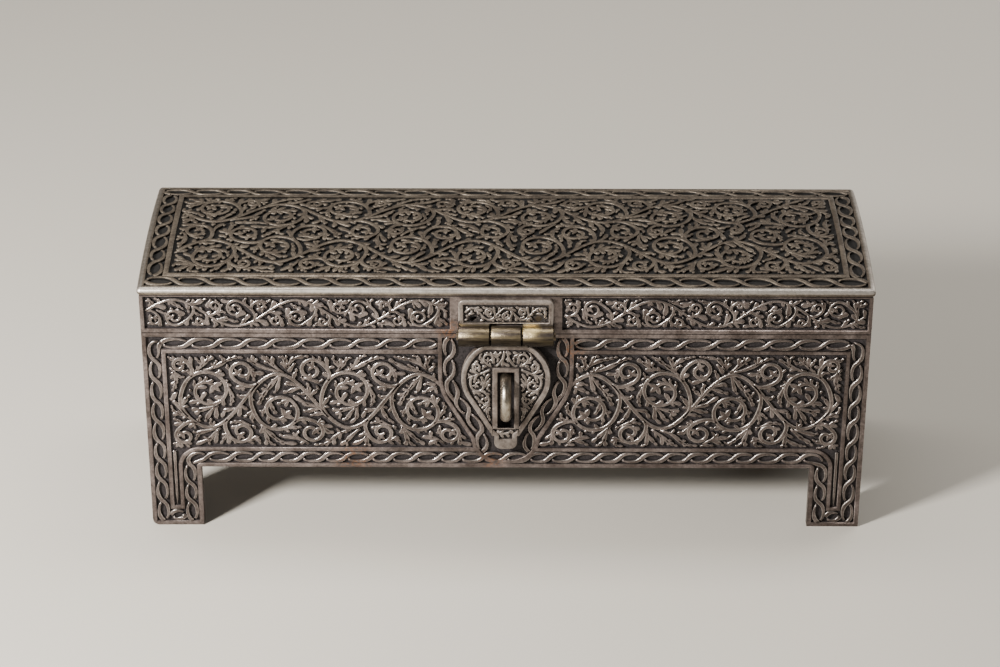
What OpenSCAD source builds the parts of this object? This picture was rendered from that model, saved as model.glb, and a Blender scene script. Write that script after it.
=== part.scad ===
// Steel pen box with a cambered lid, a hasp and staple, and chiselled grounds.
// +X runs along the box to the right, -Y is the front, +Z is up, and the feet stand on z = 0.

/* [Case] */
// Outside length of the case
case_l = 220; // [190:1:260]
// Outside width of the case from front to back
case_w = 67.5; // [60:0.5:90]
// Height of the feet under the walls
foot_h = 21.3; // [14:0.1:30]
// Width of a foot on each face
foot_w = 16; // [15.4:0.1:22]
// Height of the walls above the feet
wall_h = 47.3; // [45:0.1:60]
// Thickness of the walls and of the lid's skirts
wall_t = 3; // [2.4:0.1:4]
// Thickness of the floor plate
floor_t = 2.4; // [1.5:0.1:4]
// Rise of the floor plate above the lower edge of the walls
floor_rise = 1; // [0:0.1:4]
// Radius of the worn corner of the left front foot
worn_r = 2.2; // [0.5:0.1:3]

/* [Lid] */
// Height of the lid's front and back skirts
skirt_h = 12.5; // [11.5:0.1:18]
// Thickness of the top plate
top_t = 2.6; // [2:0.1:4]
// Rise of the top plate's camber across the width of the case
camber = 2.2; // [1:0.1:5]
// Overhang of the top plate's rounded edge
lip = 0.6; // [0.2:0.1:1.5]
// Gap along the seam between case and lid
seam_gap = 0.3; // [0.1:0.05:0.5]

/* [Chiselled grounds] */
// Depth of a ground below the face of its plate
carve_d = 0.9; // [0.4:0.1:1.4]
// Width of the plain border along the edges of a wall
edge_w = 1.4; // [1:0.1:2.5]
// Width of the sunk band for the twist on a wall
band_w = 4.3; // [3:0.1:4.5]
// Width of the plain fillet inside that band
fillet_w = 1.3; // [1:0.1:2]
// Width of the plain border around the top plate
top_edge_w = 1.5; // [1.2:0.1:4]
// Width of the sunk band for the twist on the top plate
top_band_w = 5.2; // [3:0.1:7]
// Width of the plain fillet on the top plate
top_fillet_w = 1.6; // [1:0.1:3]
// Width of the plain border around a vine panel on a skirt
vine_edge_w = 1.2; // [0.8:0.1:2]
// Width of the border between a vine panel and the top plate
vine_top_w = 0.4; // [0.3:0.1:2]
// Plain face left beside the hasp's leaf and the hinge leaves
leaf_margin = 2.6; // [1:0.1:5]
// Plain ground between the drop and the twist that follows its outline
shield_gap = 1.5; // [0.8:0.1:3]

/* [Scrolls] */
// Number of hollows of the stem on each half of the front wall
front_hollows = 4; // [2:1:6]
// Number of hollows of the stem on the back wall
back_hollows = 9; // [4:1:12]
// Number of hollows of the stem on an end wall
end_hollows = 2; // [1:1:4]
// Rise of the walls' stems over their middle line
wall_rise = 9.5; // [5:0.1:11]
// Radius of the spiral in each hollow
wall_coil_r = 8; // [5:0.1:8.5]
// Distance from the middle of the front wall to the start of its stems
front_stem_x = 15.5; // [14:0.1:20]
// Number of hollows of the two stems on the top plate
top_hollows = 10; // [6:1:14]
// Rise of those stems over their middle lines
top_rise = 6.5; // [4:0.1:8]
// Radius of the spiral in each of their hollows
top_coil_r = 7; // [4:0.1:7.5]
// Turns of a spiral
coil_turns = 1.5; // [1:0.1:1.8]
// Width of a stem, which stands as a rib in its ground
rib_w = 0.9; // [0.6:0.1:1.4]
// Depth of a rib's top below the face
rib_drop = 0.2; // [0.1:0.05:0.4]

/* [Hasp] */
// Width of the upper leaf over its knuckles
leaf_w = 28.6; // [24:0.1:36]
// Thickness of the upper leaf
leaf_t = 2; // [1.5:0.1:3]
// Width of the centre knuckle, which belongs to the drop
centre_w = 9.2; // [7:0.1:12]
// Outside radius of the knuckles
knuckle_r = 3.1; // [2.6:0.1:4]
// Radius of the hinge pin
pin_r = 1.3; // [1:0.05:1.6]
// Height of the pin above the seam
pin_rise = 1.2; // [0.8:0.1:2]
// Radius of the upper leaf's corners
leaf_r = 1.4; // [0.5:0.1:2.5]
// Distance of the leaf's rivet holes from its ends
leaf_hole_in = 4.5; // [3.5:0.1:6]
// Thickness of the drop
drop_t = 2.5; // [1.8:0.1:3.5]
// Gap between the wall and the drop
drop_gap = 0.4; // [0.35:0.05:0.8]
// Width of the drop across its belly
belly_w = 27; // [24:0.1:34]
// Distance from the pin down to the middle of the belly
belly_drop = 15.3; // [13:0.1:18]
// Distance from the pin down to the square shoulders of the drop
neck_drop = 3.6; // [3.5:0.1:7]
// Distance from the foot of the slot down to the end of the taper
taper_drop = 3; // [1.5:0.1:6]
// Width of the drop at the end of the taper
taper_w = 8.2; // [6.5:0.1:12]
// Length of the tongue below the taper
tongue_l = 4.6; // [3:0.1:8]
// Width of the tongue
tongue_w = 7; // [4.5:0.1:8]
// Radius of the tongue's corners
tongue_r = 2.2; // [0.5:0.1:3]
// Length of the plain end of the tongue
tongue_plain = 3.4; // [2:0.1:6]
// Width of the raised rims on the leaf, the drop and the slot
rim_w = 1.5; // [1:0.1:2]
// Width of the rim below the slot
foot_rim_w = 0.6; // [0.4:0.1:1.5]
// Depth of the ground between those rims
rim_d = 0.8; // [0.4:0.1:1.2]

/* [Staple] */
// Radius of the staple's rod
rod_r = 1.65; // [1.2:0.05:2]
// Height of the staple over its two legs
staple_h = 16; // [13:0.1:18]
// Reach of the staple in front of the wall
staple_out = 9.5; // [9:0.1:10]
// Distance from the pin down to the top of the staple
staple_drop = 13.8; // [12:0.1:16]
// Play beside and above the staple in the slot
slot_play = 0.9; // [0.5:0.05:1.2]
// Play below the staple that lets the drop swing off it
swing_play = 2.6; // [2.4:0.1:4]
// Thickness of the backing plate inside the wall
rove_t = 1.2; // [0.8:0.1:2]
// Border of the backing plate around the staple's legs
rove_edge = 4; // [2.5:0.1:6]

/* [Rear hinges] */
// Distance between the middles of the two hinges
hinge_span = 130; // [90:1:160]
// Width of a hinge leaf
hinge_w = 24; // [18:0.1:32]
// Height of a hinge leaf on its plate
hinge_h = 10.4; // [9:0.1:11]
// Thickness of a hinge leaf
hinge_t = 1.6; // [1.2:0.1:2]
// Outside radius of the knuckles
hinge_r = 2.6; // [2.3:0.1:3.2]
// Radius of the hinge pins
hinge_pin_r = 1.2; // [0.9:0.05:1.4]
// Width of the lid leaf's centre knuckle
hinge_centre_w = 9; // [6:0.1:12]

/* [Rivets and fits] */
// Radius of a rivet's shank
rivet_r = 1; // [0.7:0.05:1.3]
// Radius of a rivet's head
rivet_head_r = 1.8; // [1.4:0.05:2.2]
// Height of a rivet's head
rivet_head_h = 0.6; // [0.4:0.05:1]
// Radial clearance of pins, rivets and rods in their holes
fit = 0.05; // [0.02:0.01:0.1]
// Running gap between parts that turn past each other
run_gap = 0.3; // [0.2:0.05:0.5]

/* [Inside] */
// Outside radius of the inkwell
well_r = 19; // [15:0.1:24]
// Height of the inkwell's body up to its shoulder
well_h = 19; // [14:0.1:24]
// Rise of the inkwell's sloping shoulder
shoulder_h = 4; // [2:0.1:6]
// Outside radius of the inkwell's neck
neck_r = 13; // [10:0.1:14]
// Height of the inkwell's neck
neck_h = 5; // [4:0.1:8]
// Gap between the cover's skirt and the inkwell's shoulder
cover_gap = 1; // [0.5:0.1:2]
// Wall thickness of the inkwell and its cover
well_t = 1.6; // [1.2:0.1:2.5]
// Rise of the cover's dome
dome_h = 3; // [1.5:0.1:5]
// Radius of the cover's knob
knob_r = 2.4; // [1.5:0.1:3.5]
// Height of the seat ring on the floor
seat_h = 3; // [2:0.1:5]
// Thickness of the seat ring
seat_t = 1.6; // [1:0.1:2.5]
// Room left around the seat ring
room_gap = 2; // [1:0.1:5]
// Thickness of the partition
partition_t = 2; // [1.5:0.1:3]
// Height of the partition above the floor
partition_h = 30; // [20:0.5:38]

/* [Hidden] */
$fn = 48;

// Colours as the metal shows them
steel = "#6b6459";
dark_steel = "#4a443c";
brassy = "#8a7650";
copper = "#7d5a3c";

// Heights
seam_z = foot_h + wall_h;
lid_z = seam_z + seam_gap;
floor_z = foot_h + floor_rise;
floor_top = floor_z + floor_t;

// Camber of the top plate: a circle through the tops of the front and back skirts
camber_fn = 480;
belly_fn = 120;
under_r = (pow(case_w / 2, 2) + pow(camber, 2)) / (2 * camber);
camber_z = lid_z + skirt_h + camber - under_r;
top_r = under_r + top_t;
top_mid_r = under_r + top_t / 2;
top_l = case_l + 2 * lip;
top_angle = asin((case_w / 2 + lip - top_t / 2) / top_mid_r);
edge_step = 0.02;
round_steps = 6;

// Overshoot of a cut past the face that it opens
over = 1;

// Scrolls: where a spiral leaves its stem, as a share of the hollow, how far its middle stands off the stem's
// middle line, as a share of its radius, and how it winds in and thins
branch_at = 0.8;
branch_turn = 0.11;
coil_in = 0.44;
coil_fall = 0.68;
coil_thin = 0.25;
stem_margin = 1.5;
stem_steps = 8;
coil_steps = 24;
wall_frame_w = edge_w + band_w + fillet_w;
top_frame_w = top_edge_w + top_band_w + top_fillet_w;
front_hollow = (case_l / 2 - wall_frame_w - stem_margin - front_stem_x) / front_hollows;
wall_stem_z = (foot_h + seam_z) / 2;
top_stem_l = case_l - 2 * (top_frame_w + stem_margin);
top_hollow = top_stem_l / top_hollows;
top_stem_y = (case_w / 2 - top_frame_w) / 2;

// Hasp, measured down from its pin
pin_z = seam_z + pin_rise;
pin_out = knuckle_r + run_gap;
slot_top = staple_drop - slot_play;
slot_end = staple_drop + staple_h + swing_play;
slot_w = 2 * (rod_r + slot_play);
taper_z = slot_end + taper_drop;
tip_z = taper_z + tongue_l;
leaf_top = lid_z + skirt_h - run_gap;
leaf_ground_z = pin_z + knuckle_r + 2 * run_gap;
leaf_hole_z = leaf_ground_z + rivet_r + run_gap / 2;
leaf_hole_x = leaf_w / 2 - leaf_hole_in;
notch_h = knuckle_r + run_gap;

// Staple: two legs joined by a half ring
bend_r = staple_h / 2 - rod_r;
bend_out = staple_out - staple_h / 2;
staple_z = pin_z - staple_drop - staple_h / 2;

// Rear hinges
hinge_z = seam_z + seam_gap / 2;
hinge_out = hinge_r + run_gap;
hinge_rivet_x = hinge_w / 2 - 2 * rivet_head_r;
hinge_rivet_z = (hinge_r + run_gap + hinge_h) / 2;

// The case stands back so that the staple and the rear knuckles reach equally far
case_y = (staple_out - hinge_out - hinge_r) / 2;

// Inkwell
seat_r = well_r + run_gap;
ink_room = 2 * (seat_r + seat_t + room_gap);
ink_x = case_l / 2 - wall_t - ink_room / 2;
ink_y = case_y + case_w / 2 - wall_t - ink_room / 2;
cell_l = ink_room + partition_t;
neck_z = well_h + shoulder_h;
well_top = neck_z + neck_h;
cover_r = neck_r + run_gap + well_t;
cover_drop = neck_h - cover_gap;

// Placing: a plate is drawn with its outer face at y = 0 and then set on one side of the case

module on_front() { translate([0, case_y - case_w / 2, 0]) children(); }

module on_back() { translate([0, case_y + case_w / 2, 0]) rotate(180) children(); }

module on_left() { translate([-case_l / 2, case_y, 0]) rotate(-90) children(); }

module on_right() { translate([case_l / 2, case_y, 0]) rotate(90) children(); }

// Stands a drawing up, from a depth behind the outer face to a height in front of it
module upright(behind, before) {
  translate([0, behind, 0]) rotate([90, 0, 0]) linear_extrude(behind + before) children();
}

// Rod along X, centred, at a distance in front of the face and a height
module rod(l, r, out, z) { translate([0, -out, z]) rotate([0, 90, 0]) cylinder(h = l, r = r, center = true); }

// Rod along Y from one depth to another
module cross_rod(r, from, to, x, z) {
  translate([x, from, z]) rotate([-90, 0, 0]) cylinder(h = to - from, r = r);
}

// Scrolls

// Point of a stem: its height is a sine of the way along, which is nothing at both ends of a hollow
function stem_point(u, hollow, rise) = [u, rise * sin(180 * u / hollow)];

function stem_line(hollows, hollow, rise) =
  [for (i = [0:hollows * stem_steps]) stem_point(i * hollow / stem_steps, hollow, rise)];

// Spiral in a hollow: it leaves the stem past the crest, falls at once to its radius and winds in evenly
function coil_line(k, hollow, rise, r) =
  let (
    side = k % 2 == 0 ? 1 : -1,
    middle = [(k + 0.5) * hollow, -side * coil_in * r],
    out = stem_point((k + branch_at) * hollow, hollow, rise) - middle,
    start = atan2(out[1], out[0])
  )
  [for (i = [0:coil_steps]) let (
    s = i / coil_steps,
    a = start - side * 360 * coil_turns * s,
    reach = r * (1 - coil_fall * s) + (norm(out) - r) * exp(-pow(s * coil_turns / branch_turn, 2))
  ) middle + reach * [cos(a), sin(a)]];

// Half of a rib's width to the left of a line at one of its points
function left_of(line, i) =
  let (way = line[min(i + 1, len(line) - 1)] - line[max(i - 1, 0)])
  rib_w / 2 / norm(way) * [-way[1], way[0]];

module rib(line, thin) {
  last = len(line) - 1;
  polygon(concat(
    [for (i = [0:last]) line[i] + left_of(line, i) * (1 - thin * i / last)],
    [for (i = [last:-1:0]) line[i] - left_of(line, i) * (1 - thin * i / last)]
  ));
}

// A waving stem with a spiral in each hollow
module scroll(hollows, hollow, rise, r) {
  rib(stem_line(hollows, hollow, rise), 0);
  for (k = [0:hollows - 1]) rib(coil_line(k, hollow, rise, r), coil_thin);
}

// Scrolls on both sides of the hasp
module front_scrolls() {
  for (side = [0, 1]) mirror([side, 0]) translate([front_stem_x, wall_stem_z])
    scroll(front_hollows, front_hollow, wall_rise, wall_coil_r);
}

// One scroll along a whole wall
module wall_scroll(l, hollows) {
  stem_l = l - 2 * (wall_frame_w + stem_margin);
  translate([-stem_l / 2, wall_stem_z]) scroll(hollows, stem_l / hollows, wall_rise, wall_coil_r);
}

module top_scrolls() {
  for (side = [0, 1]) mirror([0, side]) translate([-top_stem_l / 2, -top_stem_y])
    scroll(top_hollows, top_hollow, top_rise, top_coil_r);
}

// Walls

module wall_outline(l) {
  polygon([
    [-l / 2, 0], [-l / 2 + foot_w, 0], [-l / 2 + foot_w, foot_h],
    [l / 2 - foot_w, foot_h], [l / 2 - foot_w, 0], [l / 2, 0],
    [l / 2, seam_z], [-l / 2, seam_z]
  ]);
}

// Bar with mitred ends, long side on the outer face
module mitred(l, z0, z1) {
  translate([0, 0, z0]) linear_extrude(z1 - z0)
    polygon([[-l / 2, 0], [l / 2, 0], [l / 2 - wall_t, wall_t], [-l / 2 + wall_t, wall_t]]);
}

module plain_wall(l) {
  intersection() {
    mitred(l, 0, seam_z);
    upright(wall_t, 0) wall_outline(l);
  }
}

// Cut for a ground, the first child, that leaves the ribs of a scroll standing, the second child
module carving() {
  difference() {
    upright(carve_d, over) children(0);
    upright(carve_d + over, -rib_drop) children(1);
  }
}

// Sunk band along the outline, and the sunk field inside its fillet
module framed_ground(l) {
  difference() {
    offset(r = -edge_w) wall_outline(l);
    offset(r = -edge_w - band_w) wall_outline(l);
  }
  offset(r = -wall_frame_w) wall_outline(l);
}

// Shield behind the drop: its pear, with straight sides up to the seam
module shield(grow) {
  offset(r = grow) translate([0, pin_z]) {
    pear();
    translate([-belly_w / 2, -belly_drop]) square([belly_w, belly_drop]);
  }
}

module front_ground() {
  difference() {
    framed_ground(case_l);
    shield(shield_gap + band_w + fillet_w);
  }
  intersection() {
    shield(shield_gap + band_w);
    offset(r = -edge_w) wall_outline(case_l);
  }
}

module back_ground() {
  difference() {
    framed_ground(case_l);
    for (side = [-1, 1])
      translate([side * hinge_span / 2 - hinge_w / 2 - leaf_margin, hinge_z - hinge_h - leaf_margin])
        square([hinge_w + 2 * leaf_margin, hinge_h + leaf_margin]);
  }
}

// Corner of the left front foot that wear has rounded off, in the frame of the front wall
module worn_corner() {
  translate([-case_l / 2, -over, 0]) difference() {
    translate([-over, 0, -over]) cube([worn_r + over, wall_t + 2 * over, worn_r + over]);
    translate([worn_r, -over, worn_r]) rotate([-90, 0, 0]) cylinder(h = wall_t + 4 * over, r = worn_r);
  }
}

module front_wall() {
  color(steel) on_front() difference() {
    plain_wall(case_l);
    carving() {
      front_ground();
      front_scrolls();
    }
    worn_corner();
    for (side = [-1, 1]) cross_rod(rod_r + fit, -over, wall_t + over, 0, staple_z + side * bend_r);
  }
}

module back_wall() {
  color(steel) on_back() difference() {
    plain_wall(case_l);
    carving() {
      back_ground();
      wall_scroll(case_l, back_hollows);
    }
    for (hinge = [-1, 1], side = [-1, 1])
      cross_rod(rivet_r + fit, -over, wall_t + over, hinge * hinge_span / 2 + side * hinge_rivet_x,
        hinge_z - hinge_rivet_z);
  }
}

module end_wall() {
  difference() {
    plain_wall(case_w);
    carving() {
      framed_ground(case_w);
      wall_scroll(case_w, end_hollows);
    }
  }
}

module left_wall() {
  color(steel) difference() {
    on_left() end_wall();
    on_front() worn_corner();
  }
}

module right_wall() { color(steel) on_right() end_wall(); }

// Inside of the case

module floor_plate() {
  color(dark_steel) translate([wall_t - case_l / 2, case_y + wall_t - case_w / 2, floor_z])
    cube([case_l - 2 * wall_t, case_w - 2 * wall_t, floor_t]);
}

// Bent plate that closes off the inkwell's corner, and leaves the front free for long pens
module partition() {
  color(dark_steel) translate([ink_x + ink_room / 2 - cell_l, ink_y + ink_room / 2 - cell_l, floor_top]) {
    cube([partition_t, cell_l, partition_h]);
    cube([cell_l, partition_t, partition_h]);
  }
}

module in_ink_room(z) { translate([ink_x, ink_y, floor_top + z]) children(); }

module inkwell_seat() {
  color(dark_steel) in_ink_room(0) difference() {
    cylinder(h = seat_h, r = seat_r + seat_t);
    translate([0, 0, -over]) cylinder(h = seat_h + 2 * over, r = seat_r);
  }
}

module inkwell() {
  color(copper) in_ink_room(0) rotate_extrude() polygon([
    [0, 0], [well_r, 0], [well_r, well_h], [neck_r, neck_z], [neck_r, well_top],
    [neck_r - well_t, well_top], [neck_r - well_t, neck_z], [well_r - well_t, well_h - well_t],
    [well_r - well_t, well_t], [0, well_t]
  ]);
}

module inkwell_cover() {
  color(copper) in_ink_room(well_top) {
    rotate_extrude() polygon([
      [0, 0], [cover_r - well_t, 0], [cover_r - well_t, -cover_drop], [cover_r, -cover_drop],
      [cover_r, well_t], [knob_r, well_t + dome_h], [0, well_t + dome_h]
    ]);
    translate([0, 0, well_t + dome_h + knob_r / 2]) sphere(r = knob_r);
  }
}

// Staple, its legs drawn through the wall and riveted over the backing plate

module staple() {
  color(steel) on_front() {
    translate([0, -bend_out, staple_z]) rotate([0, 90, 0]) rotate(180)
      rotate_extrude(angle = 180) translate([bend_r, 0]) circle(r = rod_r);
    for (side = [-1, 1]) {
      cross_rod(rod_r, -bend_out, wall_t + rove_t, 0, staple_z + side * bend_r);
      cross_rod(rod_r + rivet_head_h, wall_t + rove_t, wall_t + rove_t + rivet_head_h, 0,
        staple_z + side * bend_r);
    }
  }
}

module staple_rove() {
  color(dark_steel) on_front() difference() {
    translate([-rod_r - rove_edge, wall_t, staple_z - staple_h / 2 - rove_edge])
      cube([2 * (rod_r + rove_edge), rove_t, staple_h + 2 * rove_edge]);
    for (side = [-1, 1]) cross_rod(rod_r + fit, 0, wall_t + rove_t + over, 0, staple_z + side * bend_r);
  }
}

// Rear hinges, drawn as on the front and set on the back

module at_hinge(side) { on_back() translate([-side * hinge_span / 2, 0, 0]) children(); }

module hinge_rivet_places(up) {
  for (side = [-1, 1]) translate([side * hinge_rivet_x, 0, hinge_z + up * hinge_rivet_z]) children();
}

module hinge_case_leaf() {
  difference() {
    union() {
      translate([-hinge_w / 2, -hinge_t, hinge_z - hinge_h])
        cube([hinge_w, hinge_t, hinge_h - seam_gap / 2]);
      rod(hinge_w, hinge_r, hinge_out, hinge_z);
    }
    translate([-hinge_centre_w / 2 - run_gap, -hinge_out - hinge_r - over, hinge_z - hinge_r - run_gap])
      cube([hinge_centre_w + 2 * run_gap, hinge_out + hinge_r + 2 * over, 2 * (hinge_r + run_gap)]);
    rod(hinge_w + 2 * over, hinge_pin_r + fit, hinge_out, hinge_z);
    hinge_rivet_places(-1) cross_rod(rivet_r + fit, -hinge_t - over, over, 0, 0);
  }
}

module hinge_lid_leaf() {
  difference() {
    union() {
      translate([-hinge_w / 2, -hinge_t, hinge_z + hinge_r + run_gap])
        cube([hinge_w, hinge_t, hinge_h - hinge_r - run_gap]);
      translate([-hinge_centre_w / 2, -hinge_t, lid_z])
        cube([hinge_centre_w, hinge_t, hinge_h - seam_gap / 2]);
      rod(hinge_centre_w, hinge_r, hinge_out, hinge_z);
    }
    rod(hinge_w, hinge_pin_r + fit, hinge_out, hinge_z);
    hinge_rivet_places(1) cross_rod(rivet_r + fit, -hinge_t - over, over, 0, 0);
  }
}

// Rivet through a leaf and its plate, with a head on either side
module leaf_rivet(leaf) {
  cross_rod(rivet_r, -leaf, wall_t, 0, 0);
  cross_rod(rivet_head_r, -leaf - rivet_head_h, -leaf, 0, 0);
  cross_rod(rivet_head_r, wall_t, wall_t + rivet_head_h, 0, 0);
}

module left_hinge_case_leaf() { color(steel) at_hinge(-1) hinge_case_leaf(); }

module right_hinge_case_leaf() { color(steel) at_hinge(1) hinge_case_leaf(); }

module left_hinge_lid_leaf() { color(steel) at_hinge(-1) hinge_lid_leaf(); }

module right_hinge_lid_leaf() { color(steel) at_hinge(1) hinge_lid_leaf(); }

module hinge_case_rivets() {
  color(dark_steel) for (side = [-1, 1]) at_hinge(side) hinge_rivet_places(-1) leaf_rivet(hinge_t);
}

module hinge_lid_rivets() {
  color(dark_steel) for (side = [-1, 1]) at_hinge(side) hinge_rivet_places(1) leaf_rivet(hinge_t);
}

module hinge_pin() { rod(hinge_w + 2 * rivet_head_h, hinge_pin_r, hinge_out, hinge_z); }

module left_hinge_pin() { color(dark_steel) at_hinge(-1) hinge_pin(); }

module right_hinge_pin() { color(dark_steel) at_hinge(1) hinge_pin(); }

// Lid

// Turns a drawing of (radius, length) about the camber's axis, between two angles from the crown
module about_camber(a0, a1) {
  translate([0, case_y, camber_z]) rotate([0, -90, 0]) rotate(a0)
    rotate_extrude(angle = a1 - a0, $fn = camber_fn) children();
}

// Block of the top plate's surface, inset from its edges, down to a depth
module top_inset(inset, depth) {
  half = asin((case_w / 2 - inset) / top_r);
  about_camber(-half, half) translate([top_r - depth, inset - case_l / 2])
    square([depth + over, case_l - 2 * inset]);
}

// Half of a bar with round ends, as (radius, length) about its own axis
function half_bar(l, r, steps) = concat(
  [for (i = [0:steps]) let (a = 90 * i / steps) [r * sin(a), -l / 2 + r - r * cos(a)]],
  [for (i = [0:steps]) let (a = 90 * i / steps) [r * cos(a), l / 2 - r + r * sin(a)]]
);

// Cambered plate with round ends, and a round bar along its front and back edges
// that is a hair thinner than the plate, so that the two meet on a clean line
module lid_top() {
  bar = half_bar(top_l, top_t / 2, round_steps);
  color(steel) difference() {
    union() {
      about_camber(-top_angle, top_angle) translate([top_mid_r, 0])
        polygon(concat(bar, [for (i = [len(bar) - 2:-1:1]) [-bar[i][0], bar[i][1]]]));
      for (side = [-1, 1])
        translate([0, case_y, camber_z]) rotate([-side * top_angle, 0, 0]) translate([0, 0, top_mid_r])
          rotate([0, 90, 0]) rotate_extrude()
            polygon(half_bar(top_l - 2 * edge_step, top_t / 2 - edge_step, round_steps));
    }
    difference() {
      top_inset(top_edge_w, carve_d);
      top_inset(top_edge_w + top_band_w, carve_d + over);
    }
    top_inset(top_frame_w, rib_drop);
    difference() {
      top_inset(top_frame_w, carve_d);
      translate([0, case_y, lid_z]) linear_extrude(2 * skirt_h) top_scrolls();
    }
  }
}

// Skirt before its top is cut to the underside of the plate
module plain_skirt(l) { mitred(l, lid_z, lid_z + skirt_h + camber); }

module under_camber() {
  translate([0, case_y, camber_z]) rotate([0, 90, 0])
    cylinder(h = 2 * case_l, r = under_r, center = true, $fn = camber_fn);
}

// Sunk panel for the vine, between two places along the skirt
module vine_panel(x0, x1) {
  translate([x0, lid_z + vine_edge_w]) square([x1 - x0, skirt_h - vine_edge_w - vine_top_w]);
}

module lid_front_skirt() {
  inner = leaf_w / 2 + leaf_margin;
  outer = case_l / 2 - vine_edge_w;
  color(steel) intersection() {
    under_camber();
    on_front() difference() {
      plain_skirt(case_l);
      upright(carve_d, over) vine_panel(-outer, -inner);
      upright(carve_d, over) vine_panel(inner, outer);
      for (side = [-1, 1]) cross_rod(rivet_r + fit, -over, wall_t + over, side * leaf_hole_x, leaf_hole_z);
    }
  }
}

module lid_back_skirt() {
  gap = hinge_w / 2 + leaf_margin;
  outer = case_l / 2 - vine_edge_w;
  color(steel) intersection() {
    under_camber();
    on_back() difference() {
      plain_skirt(case_l);
      upright(carve_d, over) vine_panel(-outer, -hinge_span / 2 - gap);
      upright(carve_d, over) vine_panel(-hinge_span / 2 + gap, hinge_span / 2 - gap);
      upright(carve_d, over) vine_panel(hinge_span / 2 + gap, outer);
      for (hinge = [-1, 1], side = [-1, 1])
        cross_rod(rivet_r + fit, -over, wall_t + over, hinge * hinge_span / 2 + side * hinge_rivet_x,
          hinge_z + hinge_rivet_z);
    }
  }
}

module end_skirt() {
  outer = case_w / 2 - vine_edge_w;
  difference() {
    plain_skirt(case_w);
    upright(carve_d, over) vine_panel(-outer, outer);
  }
}

module lid_left_skirt() {
  color(steel) intersection() {
    under_camber();
    on_left() end_skirt();
  }
}

module lid_right_skirt() {
  color(steel) intersection() {
    under_camber();
    on_right() end_skirt();
  }
}

// Hasp

module leaf_outline() {
  offset(r = leaf_r) offset(delta = -leaf_r)
    translate([-leaf_w / 2, pin_z]) square([leaf_w, leaf_top - pin_z]);
}

module hasp_leaf() {
  color(steel) on_front() difference() {
    union() {
      upright(0, leaf_t) leaf_outline();
      rod(leaf_w, knuckle_r, pin_out, pin_z);
    }
    translate([-centre_w / 2 - run_gap, -pin_out - knuckle_r - over, pin_z - notch_h])
      cube([centre_w + 2 * run_gap, pin_out + knuckle_r + 2 * over, 2 * notch_h]);
    translate([rim_w - leaf_w / 2, -leaf_t - over, leaf_ground_z])
      cube([leaf_w - 2 * rim_w, rim_d + over, leaf_top - leaf_ground_z - rim_w]);
    rod(leaf_w + 2 * over, pin_r + fit, pin_out, pin_z);
    for (side = [-1, 1]) cross_rod(rivet_r + fit, -leaf_t - over, over, side * leaf_hole_x, leaf_hole_z);
  }
}

// Rivet of the right hole, filed flush in front; the left hole has lost its rivet
module hasp_leaf_rivet() {
  color(dark_steel) on_front() translate([leaf_hole_x, 0, leaf_hole_z]) {
    cross_rod(rivet_r, rim_d - leaf_t, wall_t, 0, 0);
    cross_rod(rivet_head_r, wall_t, wall_t + rivet_head_h, 0, 0);
  }
}

module hasp_pin() { color(brassy) on_front() rod(leaf_w + 2 * rivet_head_h, pin_r, pin_out, pin_z); }

// Outline of the drop below its knuckle: a round belly, a taper and a tongue
module pear() {
  difference() {
    hull() {
      translate([0, -belly_drop]) circle(d = belly_w, $fn = belly_fn);
      translate([-taper_w / 2, -taper_z]) square([taper_w, taper_drop / 2]);
    }
    translate([-belly_w, -neck_drop]) square([2 * belly_w, belly_w]);
  }
  hull() {
    translate([-tongue_w / 2, -taper_z]) square([tongue_w, taper_drop / 2]);
    for (side = [-1, 1]) translate([side * (tongue_w / 2 - tongue_r), tongue_r - tip_z]) circle(r = tongue_r);
  }
}

module slot_outline() {
  translate([-slot_w / 2, -slot_end]) square([slot_w, slot_end - slot_top]);
}

module slot_rim() {
  translate([-slot_w / 2 - rim_w, -slot_end - foot_rim_w])
    square([slot_w + 2 * rim_w, slot_end - slot_top + foot_rim_w + rim_w]);
}

module drop_ground() {
  difference() {
    offset(r = -rim_w) pear();
    slot_rim();
    translate([-taper_w / 2, -tip_z]) square([taper_w, tongue_plain]);
  }
}

module hasp_drop() {
  color(steel) on_front() difference() {
    union() {
      translate([0, 0, pin_z]) upright(-drop_gap, drop_gap + drop_t) pear();
      translate([-centre_w / 2, -drop_gap - drop_t, pin_z - neck_drop - rim_w])
        cube([centre_w, drop_t, neck_drop + rim_w]);
      rod(centre_w, knuckle_r, pin_out, pin_z);
    }
    translate([0, -drop_gap - drop_t + rim_d, pin_z]) upright(0, rim_d + over) drop_ground();
    translate([0, 0, pin_z]) upright(0, drop_gap + drop_t + over) slot_outline();
    translate([-slot_w / 2, -drop_gap - drop_t, pin_z - slot_end])
      rotate([-45, 0, 0]) cube([slot_w, 2 * drop_t, drop_t]);
    rod(leaf_w, pin_r + fit, pin_out, pin_z);
  }
}

front_wall();
back_wall();
left_wall();
right_wall();
floor_plate();
partition();
inkwell_seat();
staple();
staple_rove();
left_hinge_case_leaf();
right_hinge_case_leaf();
hinge_case_rivets();
left_hinge_pin();
right_hinge_pin();
lid_top();
lid_front_skirt();
lid_back_skirt();
lid_left_skirt();
lid_right_skirt();
hasp_leaf();
hasp_leaf_rivet();
hasp_pin();
left_hinge_lid_leaf();
right_hinge_lid_leaf();
hinge_lid_rivets();
hasp_drop();
inkwell();
inkwell_cover();
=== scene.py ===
import math

import bmesh
import bpy
import numpy as np
from mathutils import Matrix, Vector


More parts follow.
